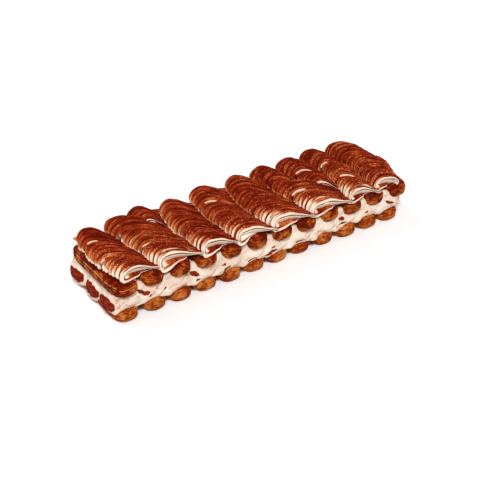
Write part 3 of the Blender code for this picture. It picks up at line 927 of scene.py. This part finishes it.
# Place of a ring's points round its outside, from 0 at the left foot to 1 at the tail.
OVER_SHARE = np.linspace(0.0, 1.0, POINTS_OVER)
RING_SHARE = np.concatenate((OVER_SHARE, np.linspace(1.0, 0.0, POINTS_UNDER)))
RIB_LIFT = np.interp(RING_SHARE, (0.0, 0.25, 0.55, 0.9, 1.0), (3.6, 3.4, 2.6, 1.7, 0.6)) * MM
RIB_LIFT[POINTS_OVER:] = 0.0


def section_curve(name, next_name, phase, left, right):
    """The outside of a row at one place, from its left foot over the crest to its tail."""
    y = row_y(name, phase)
    width = right - left
    within, number = swell_place(phase)
    swell = 1.0 - abs(2.0 * within - 1.0) ** SWELL_SHAPE
    dip = SWELL_DIP
    if number == SWELLS - 1 and within > 0.5 and name in EDGES:
        dip = 1.0 - FRONT_CREST
    crest = PIPE_CREST * (1.0 - dip + dip * swell)
    bulge = PIPE_BULGE * (BULGE_AT_JOINT + (1.0 - BULGE_AT_JOINT) * swell) + BULGE_MORE
    fullness = min(1.0, width / NARROW_ROW)
    height = height_share(name, y)
    crest = height * max(crest * fullness, LEAST_CREST)
    bulge *= fullness * height
    last = next_name == "end"
    controls = [(left + across * width - out * bulge, up * crest)
                for across, out, up in (LAST_SECTION if last else SECTION)]
    if last:
        controls += [(right + out, up * crest) for out, up in LAST_FOOT]
    else:
        tail = min(height, height_share(next_name, y)) * PIPE_TAIL
        controls += [(right, tail), (right + UNDER_NEXT, TAIL_END * tail)]
    return WEIGHTS @ np.array(controls)


def section_side(over):
    """A direction out of a row at each point of its section; at its foot they lean left."""
    tangent = np.gradient(over, axis=0)
    tangent /= np.linalg.norm(tangent, axis=1)[:, None] + 1e-12
    side = np.column_stack((-tangent[:, 1], tangent[:, 0]))
    side[:, 0] -= FOOT_LEAN * np.clip(1.0 - np.arange(POINTS_OVER) / FOOT_POINTS, 0.0, 1.0)
    return side


def spike_push(phase):
    """How far the spike of cream pushes each point of a section out."""
    _, spike_phase, spike_share, length = SPIKE
    near = np.exp(-((phase - spike_phase) / SPIKE_REACH[0]) ** 2
                  - ((OVER_SHARE - spike_share) / SPIKE_REACH[1]) ** 2)
    return length * near


def row_ring(name, next_name, phase):
    """One smooth ring of a row: its points, directions out of the row's side, and heights."""
    y = row_y(name, phase)
    left = left_edge(name, y) if name in EDGES else short_edge(name, y)
    right = left_edge(next_name, float(rib_place(name, phase, 1.0, 1.0)))
    over = section_curve(name, next_name, phase, left, right)
    side = section_side(over)
    over += side * joint_offset(phase, next_name == "end")[:, None]
    if name == SPIKE[0]:
        over += side * spike_push(phase)[:, None]
    over[:, 1] = np.maximum(over[:, 1], 0.0)
    back_left = np.linspace(1.0, 0.0, POINTS_UNDER + 2)[1:-1]
    under_x = over[0, 0] + (over[-1, 0] - over[0, 0]) * back_left
    x = np.concatenate((over[:, 0], under_x))
    up = np.concatenate((over[:, 1], np.zeros(POINTS_UNDER)))
    across = np.clip((x - left) / (right - left), 0.0, 1.0)
    place = np.concatenate((rib_place(name, phase, across[:POINTS_OVER], OVER_SHARE),
                            under_place(name, phase, across[POINTS_OVER:])))
    points = np.column_stack((x, place, pipe_base(name, x, place, across) + up))
    outward = np.zeros((RING_POINTS, 3))
    outward[:POINTS_OVER, 0] = side[:, 0]
    outward[:POINTS_OVER, 2] = side[:, 1]
    return points, outward, up


def joint_offset(phase, last):
    """How a ring draws in by a joint: a step inside the last lip, and a notch at its foot."""
    ending = (1.0, 0.9) if last else (0.85, 0.55)
    shoulder = smooth_step(0.04, 0.16, OVER_SHARE) * smooth_step(*ending, OVER_SHARE)
    foot = smooth_step(0.26, 0.10, OVER_SHARE)
    offset = np.zeros(POINTS_OVER)
    for joint in JOINTS:
        past = phase - joint
        if past > 0.0:
            offset -= STEP * math.exp(-past / STEP_RIBS) * shoulder
        else:
            offset += 0.4 * STEP * math.exp(past / 0.4) * shoulder
        offset -= NOTCH * math.exp(-(past / NOTCH_RIBS) ** 2) * foot
    return offset


def rib_number(phase):
    """Number of the rib that a ring is on; a groove ends the rib before it."""
    return math.floor(phase - TINY)


def flank_cover(name, phase, up, ragged):
    """All the cocoa on top, and less on the left flank and its foot, as each swell has it."""
    flank = smooth_step(*FLANK_REACH, RING_SHARE)
    foot = smooth_step(*FOOT_REACH, up + ragged * RAGGED_FOOT * MM)
    last = float(smooth_step(0.5, 1.5, phase - (LENGTH - RIBS_PER_SWELL)))
    first = float(smooth_step(RIBS_PER_SWELL + 0.5, RIBS_PER_SWELL - 0.5, phase))
    bare_flank, bare_foot = (max(0.0, min(1.0, value + FLANK_CHANGE * (last - first)))
                             for value in FLANKS[name])
    return 1.0 - flank * (bare_flank + (bare_foot - bare_flank) * foot)


def add_stripes(dust, name, phase, ragged):
    """Bold stripes by a row's front: more cocoa between the ribs, and less along each one."""
    ribs, bold = STRIPES[name]
    back = LENGTH - phase
    within = phase - rib_number(phase)
    face = smooth_step(0.40, 0.50, within) * smooth_step(0.88, 0.78, within)
    flank_edge = 0.62 - 0.07 * back + 0.05 * ragged
    striped = smooth_step(ribs + 0.5, ribs - 1.5, back) * smooth_step(
        flank_edge, flank_edge - 0.25, RING_SHARE)
    return dust + striped * (0.8 * (0.88 - dust) * (1.0 - face) - bold * face)


def bare_bands(dust, name, phase, ragged):
    """Bands across a row's front without cocoa, which fade towards its tail."""
    bands = [FIRST_BAND, SECOND_BANDS[name]] if name in SECOND_BANDS else [FIRST_BAND]
    for low, high in bands:
        middle, half = (low + high) / 2, (high - low) / 2
        away = abs(LENGTH - phase + 0.1 * ragged - middle)
        inside = smooth_step(half + 0.1, half - 0.05, away)
        dust = dust - inside * smooth_step(1.02, 0.80, RING_SHARE) * 1.1
    return dust


def bare_crescents(dust, name, phase):
    """Crescents without cocoa where the swells of a row end."""
    for joint, start, end, width in CRESCENTS.get(name, ()):
        middle = (start + end) / 2
        taper = np.clip(1.0 - ((RING_SHARE - middle) / ((end - start) / 2)) ** 2, 0.0, 1.0)
        ahead = joint * RIBS_PER_SWELL - phase
        reach = width * np.sqrt(taper)
        band = (ahead > -0.005) * smooth_step(reach + 0.05, reach - 0.03, ahead)
        dust = dust - band * smooth_step(0.0, 0.5, taper) * 1.2
    return dust


def outside_dust(name, phase, up, seed):
    """How thickly cocoa lies on the outside of a ring, from 0 on bare cream to 1."""
    points = np.column_stack((np.full(RING_POINTS, phase * RIB_PITCH),
                              RING_SHARE * AROUND * MM, up))
    ragged = field(points, RAGGED_SIZE, seed)
    dust = flank_cover(name, phase, up, ragged)
    # The sine jumps from rib to rib and from row to row.
    dust += RIB_CHANGE * math.sin(rib_number(phase) * 12.9 + seed * 7.1)
    if name in EDGES:
        dust = add_stripes(dust, name, phase, ragged)
        dust = bare_bands(dust, name, phase, ragged)
    return np.clip(bare_crescents(dust, name, phase), 0.0, 1.0)


def notch_shading(phase):
    """How strongly painted shade darkens the notches between the feet of two swells."""
    past = min(abs(phase - joint) for joint in JOINTS)
    return 0.9 * math.exp(-(past / NOTCH_SHADE_RIBS) ** 2) * smooth_step(0.32, 0.20, RING_SHARE)


def swirl_dust(inner, seed, inside):
    """Cocoa inside a hollow front end: a thin line round it and a patch on its lower lip."""
    turn = np.arange(RING_POINTS) / RING_POINTS
    angle = turn * 2.0 * math.pi
    circle = np.column_stack((np.cos(angle), np.sin(angle), np.full(RING_POINTS, inner)))
    wobble = field(circle * MM, 0.7 * MM, seed)
    line = np.exp(-((inner - 0.60 - 0.02 * wobble) / 0.11) ** 6)
    line *= smooth_step(-1.0, -0.6, wobble + 0.3 * np.cos(angle - 0.9))
    lower = smooth_step(0.78, 0.83, turn) * smooth_step(0.985, 0.94, turn)
    patch = smooth_step(0.72, 0.64, inner) * lower
    patch *= np.clip(smooth_step(-0.5, -0.2, wobble) + inside - 1.0, 0.0, 1.0) * inside
    return np.clip(1.2 * line + 1.3 * patch, 0.0, 1.0)


def row_rings(name, next_name, seed):
    """The rings of a row from its back to its front, with what the nodes read on each."""
    phases = [*np.linspace(0.0, LENGTH, LENGTH * RINGS_PER_RIB + 1),
              *(joint + PAST_JOINT for joint in JOINTS)]
    rings = []
    for phase in sorted(phases):
        if row_y(name, phase) >= BACKS[name] * MM or phase > SHORT_FRONTS.get(name, LENGTH):
            continue
        points, outward, up = row_ring(name, next_name, phase)
        next_joint = (swell_place(phase)[1] + 1) * RIBS_PER_SWELL
        in_lip = phase >= next_joint - LIP_SHARE
        wobble = field(points, WOBBLE_SIZE, seed + 31.0) * (LIP_WOBBLE if in_lip else WOBBLE)
        count = np.full(RING_POINTS, next_joint - 0.5 if in_lip else phase) + wobble
        rings.append(Ring(points, outward, outside_dust(name, phase, up, seed), count,
                          RIB_LIFT, notch_shading(phase)))
    if name in SHORT_ROWS:
        for index, ring in enumerate(rings):
            left = (len(rings) - 1 - index) / RINGS_PER_RIB
            bare_lip = smooth_step(0.14, 0.05, left) * smooth_step(0.15, 0.35, RING_SHARE)
            ring.dust[:] = np.clip(ring.dust - bare_lip, 0.0, 1.0)
    return rings


def end_rings(name, ring, direction, profile, seed):
    """Rings that close a row's end towards a spine inside it, and the pole in their middle."""
    front = direction < 0.0
    hollow = front and name in EDGES
    low, high = ring.points.min(0), ring.points.max(0)
    along = np.clip((ring.points[:, 0] - low[0]) / (high[0] - low[0]),
                    SPINE_PLACES[0], SPINE_PLACES[-1])
    foot = ring.points[-3, 2]
    spine = np.column_stack((
        low[0] + along * (high[0] - low[0]),
        np.interp(along, SPINE_PLACES, ring.points[SPINE_POINTS, 1]),
        foot + np.interp(along, SPINE_PLACES, SPINE_HEIGHTS) * (high[2] - foot)))
    if hollow:
        spine[:, 1] += np.interp(along, SPINE_PLACES, (0.0, 1.2, 0.6)) * MM
    rings = []
    for index, (inner, forward) in enumerate(profile):
        points = spine + inner * (ring.points - spine)
        points[:, 1] += direction * forward * MM
        if hollow:
            dust = swirl_dust(inner, seed, LOWER_LIPS[name][2])
        else:
            bare = front and not (0.60 < inner < 0.80 or inner < 0.40)
            dust = np.full(RING_POINTS, 0.0 if bare else 1.0)
        fade = max(0.0, 1.0 - (index + 1) / 3.0)
        rings.append(ring._replace(points=points, dust=dust, lift=ring.lift * fade,
                                   pit=np.zeros(RING_POINTS)))
    pole = spine.mean(0)
    pole[1] += direction * profile[-1][1] * MM
    return rings, pole


def worn_places(points):
    """Where specks of cream show through the cocoa: mostly to the front and to the right."""
    forward = smooth_step(8.0 * MM, -30.0 * MM, points[:, 1])
    rightward = smooth_step(-60.0 * MM, 30.0 * MM, points[:, 0])
    patchy = field(points, 22.0 * MM, 13.0)
    return np.clip(0.25 + 0.75 * forward + 0.5 * rightward + 0.6 * patchy, 0.0, 1.0)


def stack_faces(rings):
    """Faces between the rings of a stack, and between its ends and two poles that come last."""
    faces = []
    sides = [(column, (column + 1) % RING_POINTS) for column in range(RING_POINTS)]
    for start in range(0, (rings - 1) * RING_POINTS, RING_POINTS):
        faces += [(start + column, start + following, start + RING_POINTS + following,
                   start + RING_POINTS + column) for column, following in sides]
    back_pole = rings * RING_POINTS
    last_ring = back_pole - RING_POINTS
    for column, following in sides:
        faces.append((back_pole, following, column))
        faces.append((back_pole + 1, last_ring + column, last_ring + following))
    return faces


def piped_row(name, next_name, seed):
    """A row lofted from its rounded back over three swells of ribs to its open front end."""
    rings = row_rings(name, next_name, seed)
    back, back_pole = end_rings(name, rings[0], 1.0, END_RINGS, seed)
    front, front_pole = end_rings(name, rings[-1], -1.0, SWIRL_RINGS, seed)
    rings = [*reversed(back), *rings, *front]
    points, outward, dust, count, lift, pit = (np.concatenate(parts) for parts in zip(*rings))
    points = np.vstack((points, back_pole, front_pole)) + np.array(layout_shift())
    outward = np.vstack((outward, np.zeros((2, 3))))
    points += outward * (field(points, SOFT_SIZE, seed) * SOFT_DEPTH)[:, None]
    obj = mesh_object(f"piped_cream_{name}", points, stack_faces(len(rings)))
    store(obj.data, "rib_out", outward)
    for label, values, at_back_pole in (("rib_count", count, 0.0), ("rib_lift", lift, 0.0),
                                        ("dust", dust, 1.0), ("pit", pit, 0.0)):
        store(obj.data, label, np.append(values, (at_back_pole, 0.0)))
    store(obj.data, "worn", worn_places(points))
    return face_outwards(obj)


def face_outwards(obj):
    bm = bmesh.new()
    bm.from_mesh(obj.data)
    if bm.calc_volume(signed=True) < 0.0:
        bmesh.ops.reverse_faces(bm, faces=bm.faces)
        bm.to_mesh(obj.data)
    bm.free()
    return obj


def rib_tree():
    """Geometry Nodes that press the ribs of a piping nozzle into a smooth row."""
    tree, given = node_group("Piped Ribs", {
        "Rib Depth": "Float", "Unevenness": "Float", "Line Depth": "Float", "Seed": "Int"})
    count = Value(tree, named_attribute(tree, "rib_count"))
    lift = Value(tree, named_attribute(tree, "rib_lift"))
    outward = named_attribute(tree, "rib_out", "FLOAT_VECTOR")
    across = count.apply("FRACT") * 2.0 - 1.0
    ridge = (1.0 - across * across).apply("POWER", 0.7)
    chance = make_node(tree, "FunctionNodeRandomValue",
                       {2: -1.0, 3: 1.0, "ID": count.apply("FLOOR"), "Seed": given["Seed"]},
                       data_type="FLOAT")
    uneven = Value(tree, chance.outputs[1]) * ridge * given["Unevenness"]
    place = tree.nodes.new("GeometryNodeInputPosition").outputs[0]
    lines = (rib_lines(tree, place, count) - 0.5) * given["Line Depth"]
    depth = lift * given["Rib Depth"] * (ridge - 1.0 + (uneven + lines))
    moved = push_out(tree, given["Geometry"], outward, depth)
    deep_enough = (lift * FULL_GROOVE).apply("MINIMUM", 1.0)
    groove = across.apply("ABSOLUTE").apply("POWER", 3.4) * deep_enough
    kept = make_node(tree, "GeometryNodeStoreNamedAttribute",
                     {"Geometry": moved, "Name": "groove", "Value": groove},
                     data_type="FLOAT", domain="POINT")
    return end_group(tree, kept.outputs[0], given["Finish"])


# ---- the cream layer ----

def add_blob(bm, centre, radii, turn=0.0):
    place = (Matrix.Translation(centre) @ Matrix.Rotation(turn, 4, "Y")
             @ Matrix.Diagonal((*radii, 1.0)))
    bmesh.ops.create_icosphere(bm, subdivisions=3, radius=1.0, matrix=place)


def add_side(bm, blob, x, edge, lift=0.0, turn=0.0):
    height, inside, radii = blob
    add_blob(bm, (x, edge - math.copysign(inside, edge), height + lift), radii, turn)


def cream_body():
    """A leaning slab with lobes at its ends and soft swags along its sides, merged into one."""
    rng = np.random.default_rng(CREAM_SEED)
    bm = bmesh.new()
    bmesh.ops.create_cube(bm, size=1.0)
    for vert in bm.verts:
        high = vert.co.z > 0.0
        if vert.co.y > 0.0:
            y = CREAM_BACK_HIGH if high else CREAM_BACK_LOW
        else:
            y = CREAM_FRONT_HIGH if high else CREAM_FRONT_LOW
        x = CREAM_RIGHT - END_INSET if vert.co.x > 0.0 else CREAM_LEFT + END_INSET
        y -= math.copysign(SIDE_INSET, y)
        vert.co = Vector((x, y, CREAM_HIGH if high else CREAM_LOW))
    bmesh.ops.bevel(bm, geom=bm.edges[:], offset=EDGE_ROUNDING, segments=3, profile=0.5,
                    affect="EDGES")
    ends = ((LEFT_LOBE_CENTRES_Y, LEFT_LOBE_CENTRE, LEFT_LOBE_RADII),
            (RIGHT_LOBE_CENTRES_Y, RIGHT_LOBE_CENTRE, RIGHT_LOBE_RADII))
    for centres_y, (x, z), radii in ends:
        for y in centres_y:
            add_blob(bm, (x, y, z), radii)
    for spot in lower_spots():
        for edge in (CREAM_FRONT_LOW, CREAM_BACK_LOW):
            lift = rng.uniform(-0.8, 0.8) * MM
            add_side(bm, SWAG, spot["x"] + rng.uniform(-2, 2) * MM, edge, lift,
                     rng.uniform(-0.12, 0.12))
            x = spot["x"] + BOTTOM_ROW_PITCH / 2
            if x < CREAM_RIGHT - LAST_BLOB:
                add_side(bm, LOW_BLOB, x, edge, lift)
    for spot in upper_spots()[:-1]:
        for edge in (CREAM_FRONT_HIGH, CREAM_BACK_HIGH):
            add_side(bm, HIGH_BLOB, spot["x"] + TOP_ROW_PITCH / 2, edge)
    obj = bmesh_object("cream_between_rows", bm)
    remesh = obj.modifiers.new("Merge", "REMESH")
    remesh.mode = "VOXEL"
    remesh.voxel_size = VOXEL
    smooth = obj.modifiers.new("Soften", "SMOOTH")
    smooth.factor = 0.5
    smooth.iterations = 6
    return apply_modifiers(obj)


def spreading_waves(points):
    """Soft waves, and strokes in the direction in which the cream was spread, in metres."""
    cosine, sine = math.cos(STROKE_LEAN), math.sin(STROKE_LEAN)
    strokes = np.column_stack(((points[:, 0] * cosine + points[:, 2] * sine) * 0.3, points[:, 1],
                               (points[:, 2] * cosine - points[:, 0] * sine) * 1.4))
    return (field(points, 15.0 * MM, 3.0) * 1.2 + field(strokes, 5.0 * MM, 4.0) * 1.0
            + field(strokes, 2.6 * MM, 6.0) * 0.4) * MM


def lobe_dust(points, normals):
    """A leaf of cocoa on the outside of each lobe at the left end."""
    dust = np.zeros(len(points))
    x, z = LEFT_LOBE_CENTRE
    ragged = field(points, 3.0 * MM, 8.0) * 0.09
    for y in LEFT_LOBE_CENTRES_Y:
        along = (points[:, 1] - y) / LEFT_LOBE_RADII[1]
        up = (points[:, 2] - z) / LEFT_LOBE_RADII[2]
        leaf = smooth_step(0.88, 0.74, np.hypot(along, (up - 0.14) / 0.80) + ragged)
        dust = np.maximum(dust, leaf * (normals[:, 0] < 0.1) * (points[:, 0] < x))
    return dust


def spot_dust(points):
    """Spots of cocoa that fell on the front of the cream."""
    dust = np.zeros(len(points))
    ragged = field(points, 2.0 * MM, 9.0) * 0.16
    for spot_x, spot_z, half, tall, lean in FRONT_SPOTS:
        dx = points[:, 0] - spot_x * MM
        dz = points[:, 2] - spot_z * MM
        along = (dx * math.cos(lean) + dz * math.sin(lean)) / (half * MM)
        aside = (dz * math.cos(lean) - dx * math.sin(lean)) / (tall * MM)
        spot = smooth_step(1.05, 0.75, np.hypot(along, aside) + ragged)
        dust = np.maximum(dust, spot * (points[:, 1] < 0.0))
    return dust


def shape_cream(obj, settings):
    """Gives the cream its waves, and notes how much cocoa lies where."""
    points = read_vectors(obj.data.vertices, "co")
    normals = read_vectors(obj.data.vertex_normals, "vector")
    points += normals * (spreading_waves(points) * settings.wave_scale)[:, None]
    dust = np.maximum(lobe_dust(points, normals), spot_dust(points))
    set_points(obj.data, points + np.array(layout_shift()))
    obj.data.shade_smooth()
    store(obj.data, "dust", dust)
    return obj


# ---- cocoa grains ----

def grain_tree():
    """Geometry Nodes that strew small clumps of cocoa where it lies on the rows."""
    tree, given = node_group("Cocoa Grains", {
        "Rows": "Collection", "Density": "Float", "Grain Radius": "Float", "Seed": "Int"})
    rows = make_node(tree, "GeometryNodeCollectionInfo", {"Collection": given["Rows"]},
                     transform_space="ORIGINAL")
    rows = make_node(tree, "GeometryNodeRealizeInstances", {0: rows.outputs[0]})
    normal = tree.nodes.new("GeometryNodeInputNormal").outputs[0]
    facing = make_node(tree, "ShaderNodeSeparateXYZ", {0: normal}).outputs["Z"]
    level = Value(tree, facing).apply("GREATER_THAN", GRAIN_LEVEL)
    density = level * named_attribute(tree, "dust") * given["Density"]
    points = make_node(tree, "GeometryNodeDistributePointsOnFaces",
                       {"Mesh": rows.outputs[0], "Density": density, "Seed": given["Seed"]},
                       distribute_method="RANDOM")
    grain = make_node(tree, "GeometryNodeMeshIcoSphere",
                      {"Radius": given["Grain Radius"], "Subdivisions": 1})
    scale = make_node(tree, "FunctionNodeRandomValue",
                      {0: GRAIN_SCALES[0], 1: GRAIN_SCALES[1], "Seed": given["Seed"]},
                      data_type="FLOAT_VECTOR")
    strewn = make_node(tree, "GeometryNodeInstanceOnPoints",
                       {"Points": points.outputs["Points"], "Instance": grain.outputs["Mesh"],
                        "Rotation": points.outputs["Rotation"], "Scale": scale.outputs[0]})
    return end_group(tree, strewn.outputs[0], given["Finish"])


# ---- settings ----

def colour_property(name, description, default):
    return FloatVectorProperty(name=name, description=description, default=default,
                               subtype="COLOR", size=3, min=0.0, max=1.0)


def share_property(name, description, default):
    return FloatProperty(name=name, description=description, default=default, subtype="FACTOR")


def length_property(name, description, default):
    return FloatProperty(name=name, description=description, default=default,
                         subtype="DISTANCE", unit="LENGTH")


class TIRAMISU_PG_piping(bpy.types.PropertyGroup):
    rib_depth: share_property("Rib depth", "Scale of the ribs' depth", 1.0)
    unevenness: share_property("Unevenness", "How far one rib differs from the next", 0.18)
    line_depth: share_property("Line depth", "Depth of a rib's thin lines, as part of its own",
                               0.9)
    seed: IntProperty(name="Seed", description="Changes the unevenness", default=4)
    cream_colour: colour_property("Cream", "Bare piped cream", (0.82, 0.69, 0.56))
    cocoa_film: colour_property("Film of cocoa", "Cream just covered", (0.72, 0.34, 0.15))
    cocoa_light: colour_property("Thin cocoa", "Cocoa thinly over cream", (0.50, 0.125, 0.034))
    cocoa_middle: colour_property("Cocoa", "Cocoa on the tops", (0.28, 0.025, 0.0042))
    # Thickest cocoa; this is also the colour of the painted shade in the grooves.
    cocoa_dark: colour_property("Thick cocoa", "Cocoa in the grooves", (0.095, 0.004, 0.0007))
    # Colour of the painted shade in the notch between two swells.
    notch: colour_property("Notch", "Dark notch between two swells", (0.022, 0.003, 0.001))


class TIRAMISU_PG_ladyfingers(bpy.types.PropertyGroup):
    wrinkle_depth: length_property("Wrinkle depth", "Depth of the crust's wrinkles", 1.6 * MM)
    wrinkle_size: length_property("Wrinkle size", "Size of the crust's wrinkles", 4.5 * MM)
    sag_depth: length_property("Sag depth", "How uneven a ladyfinger is", 1.2 * MM)
    dark: colour_property("Dark", "Darkest wet sponge", (0.085, 0.005, 0.0008))
    wet: colour_property("Wet", "Flat side of a soaked ladyfinger", (0.22, 0.014, 0.0016))
    soaked: colour_property("Soaked", "Sponge that soaked up coffee", (0.17, 0.016, 0.0018))
    crust: colour_property("Crust", "Browned crust", (0.31, 0.056, 0.006))
    golden: colour_property("Golden", "Golden crust", (0.44, 0.125, 0.020))
    pale: colour_property("Pale", "Palest crust", (0.52, 0.20, 0.052))
    seam: colour_property("Seam", "Thin edge of the flat side", (0.55, 0.22, 0.055))


class TIRAMISU_PG_cream(bpy.types.PropertyGroup):
    wave_scale: share_property("Waves", "Scale of the waves in the cream", 1.0)
    colour: colour_property("Cream", "Cream between the rows", (0.76, 0.65, 0.535))
    shade: colour_property("Shade", "Stained cream", (0.71, 0.54, 0.42))
    streak: colour_property("Streak", "Cream stained by coffee", (0.50, 0.19, 0.085))
    cocoa_dark: colour_property("Cocoa", "Cocoa on the cream", (0.12, 0.006, 0.001))
    cocoa_light: colour_property("Light cocoa", "Thin cocoa on the cream", (0.27, 0.030, 0.006))


class TIRAMISU_PG_cocoa(bpy.types.PropertyGroup):
    density: FloatProperty(
        name="Density", description="Grains for each square metre", default=90000.0)
    grain_radius: length_property("Grain radius", "Radius of a clump of cocoa", 0.3 * MM)
    seed: IntProperty(name="Seed", description="Changes where the grains lie", default=2)
    dark: colour_property("Dark", "Darkest grains", (0.12, 0.006, 0.001))
    light: colour_property("Light", "Lightest grains", (0.36, 0.060, 0.014))


class TIRAMISU_PG_stage(bpy.types.PropertyGroup):
    floor_colour: colour_property("Floor", "Pale floor", (0.93, 0.93, 0.93))
    sky: FloatProperty(name="Sky", description="Strength of the even light", default=0.40)
    key: FloatProperty(name="Key", description="Strength of the main light", default=2.7)
    lens: FloatProperty(
        name="Lens", description="Focal length", default=90.76, subtype="DISTANCE_CAMERA")


# ---- operators ----

def aim(obj, towards):
    obj.rotation_mode = "QUATERNION"
    obj.rotation_quaternion = Vector(towards).normalized().to_track_quat("-Z", "Y")


class TIRAMISU_OT_stage(bpy.types.Operator):
    """Sets the floor, the soft light and the camera"""

    bl_idname = "tiramisu.stage"
    bl_label = "Set the Stage"

    def execute(self, context):
        settings = context.scene.tiramisu_stage
        corners = [(x * FLOOR_REACH, y * FLOOR_REACH, 0.0)
                   for x, y in ((-1, -1), (1, -1), (1, 1), (-1, 1))]
        floor = mesh_object("floor", corners, [(0, 1, 2, 3)], smooth=False)
        floor.data.materials.append(floor_material(settings))
        world = bpy.data.worlds.new("soft_light")
        world.use_nodes = True
        background = world.node_tree.nodes["Background"]
        background.inputs["Color"].default_value = (1.0, 1.0, 1.0, 1.0)
        background.inputs["Strength"].default_value = settings.sky
        context.scene.world = world
        for name, share, towards, spread in LIGHTS:
            sun = bpy.data.lights.new(name, "SUN")
            sun.energy = settings.key * share
            sun.angle = math.radians(spread)
            aim(link_object(name, sun), towards)
        context.scene.view_settings.view_transform = "Standard"
        camera = bpy.data.cameras.new("camera")
        camera.lens = settings.lens
        camera.sensor_width = SENSOR_WIDTH
        camera.clip_start, camera.clip_end = CAMERA_SEES
        holder = link_object("camera", camera)
        holder.location = CAMERA_PLACE
        aim(holder, CAMERA_TOWARDS)
        context.scene.camera = holder
        return {"FINISHED"}


def lay_fingers(settings, upper):
    row = "upper" if upper else "lower"
    finish = ladyfinger_material(f"{row}_ladyfinger", settings, upper)
    tree = bpy.data.node_groups.get("Ladyfinger Crust") or crust_tree()
    for number, spot in enumerate(upper_spots() if upper else lower_spots(), start=1):
        seed = float(number + (UPPER_SEED if upper else 0))
        piece = ladyfinger_mesh(f"{row}_ladyfinger_{number:02d}", spot, upper)
        run_tree(piece, tree, {
            "Wrinkle Depth": settings.wrinkle_depth, "Wrinkle Size": settings.wrinkle_size,
            "Sag Depth": settings.sag_depth, "Seed": seed, "Finish": finish})
        if not upper:
            points = read_vectors(piece.data.vertices, "co")
            set_points(piece.data, np.maximum(points, (-np.inf, -np.inf, 0.0)))
        finish_piece(piece, [f"ladyfinger_{row}_{number:02d}"])


class TIRAMISU_OT_lower_ladyfingers(bpy.types.Operator):
    """Lays the lower row of ladyfingers"""

    bl_idname = "tiramisu.lower_ladyfingers"
    bl_label = "Lay the Lower Ladyfingers"

    def execute(self, context):
        lay_fingers(context.scene.tiramisu_ladyfingers, False)
        return {"FINISHED"}


class TIRAMISU_OT_upper_ladyfingers(bpy.types.Operator):
    """Lays the upper row of soaked ladyfingers"""

    bl_idname = "tiramisu.upper_ladyfingers"
    bl_label = "Lay the Upper Ladyfingers"

    def execute(self, context):
        lay_fingers(context.scene.tiramisu_ladyfingers, True)
        return {"FINISHED"}


class TIRAMISU_OT_cream_layer(bpy.types.Operator):
    """Spreads the cream between the two rows of ladyfingers"""

    bl_idname = "tiramisu.cream_layer"
    bl_label = "Spread the Cream"

    def execute(self, context):
        settings = context.scene.tiramisu_cream
        piece = shape_cream(cream_body(), settings)
        piece.data.materials.clear()
        piece.data.materials.append(cream_material(settings))
        finish_piece(piece, ["cream_layer"])
        return {"FINISHED"}


class TIRAMISU_OT_piped_rows(bpy.types.Operator):
    """Pipes the ribbed rows of cream"""

    bl_idname = "tiramisu.piped_rows"
    bl_label = "Pipe the Rows"

    def execute(self, context):
        settings = context.scene.tiramisu_piping
        finish = dusted_cream_material(settings)
        tree = rib_tree()
        rows = bpy.data.collections.new("piped_rows")
        context.scene.collection.children.link(rows)
        for number, (name, next_name) in enumerate(zip(ROW_ORDER, ROW_ORDER[1:])):
            piece = piped_row(name, next_name, float(number + 1))
            run_tree(piece, tree, {
                "Rib Depth": settings.rib_depth, "Unevenness": settings.unevenness,
                "Line Depth": settings.line_depth, "Seed": settings.seed + number,
                "Finish": finish})
            context.scene.collection.objects.unlink(piece)
            rows.objects.link(piece)
            finish_piece(piece, [f"piped_{name}"])
        return {"FINISHED"}


class TIRAMISU_OT_cocoa_grains(bpy.types.Operator):
    """Strews clumps of cocoa over the piped rows"""

    bl_idname = "tiramisu.cocoa_grains"
    bl_label = "Strew the Cocoa"

    def execute(self, context):
        settings = context.scene.tiramisu_cocoa
        rows = bpy.data.collections.get("piped_rows")
        if rows is None:
            raise RuntimeError("pipe the rows before the cocoa is strewn")
        piece = mesh_object("cocoa_grains", [], [], smooth=False)
        run_tree(piece, grain_tree(), {
            "Rows": rows, "Density": settings.density, "Grain Radius": settings.grain_radius,
            "Seed": settings.seed, "Finish": cocoa_grain_material(settings)})
        finish_piece(piece, [])
        return {"FINISHED"}


class TIRAMISU_PT_panel(bpy.types.Panel):
    bl_label = "Tiramisu Log"
    bl_idname = "TIRAMISU_PT_panel"
    bl_space_type = "VIEW_3D"
    bl_region_type = "UI"
    bl_category = "Tiramisu"

    def draw(self, context):
        for operator in OPERATORS:
            self.layout.operator(operator.bl_idname)


OPERATORS = (TIRAMISU_OT_lower_ladyfingers, TIRAMISU_OT_cream_layer,
             TIRAMISU_OT_upper_ladyfingers, TIRAMISU_OT_piped_rows, TIRAMISU_OT_cocoa_grains,
             TIRAMISU_OT_stage)
GROUPS = {
    "tiramisu_piping": TIRAMISU_PG_piping,
    "tiramisu_ladyfingers": TIRAMISU_PG_ladyfingers,
    "tiramisu_cream": TIRAMISU_PG_cream,
    "tiramisu_cocoa": TIRAMISU_PG_cocoa,
    "tiramisu_stage": TIRAMISU_PG_stage,
}


def register():
    for name, group in GROUPS.items():
        bpy.utils.register_class(group)
        setattr(bpy.types.Scene, name, PointerProperty(type=group))
    for kind in (*OPERATORS, TIRAMISU_PT_panel):
        bpy.utils.register_class(kind)


def unregister():
    for kind in (TIRAMISU_PT_panel, *reversed(OPERATORS)):
        bpy.utils.unregister_class(kind)
    for name, group in GROUPS.items():
        delattr(bpy.types.Scene, name)
        bpy.utils.unregister_class(group)


def main():
    register()
    bpy.ops.tiramisu.lower_ladyfingers()
    bpy.ops.tiramisu.cream_layer()
    bpy.ops.tiramisu.upper_ladyfingers()
    bpy.ops.tiramisu.piped_rows()
    bpy.ops.tiramisu.cocoa_grains()
    bpy.ops.tiramisu.stage()


if __name__ == "__main__":
    main()
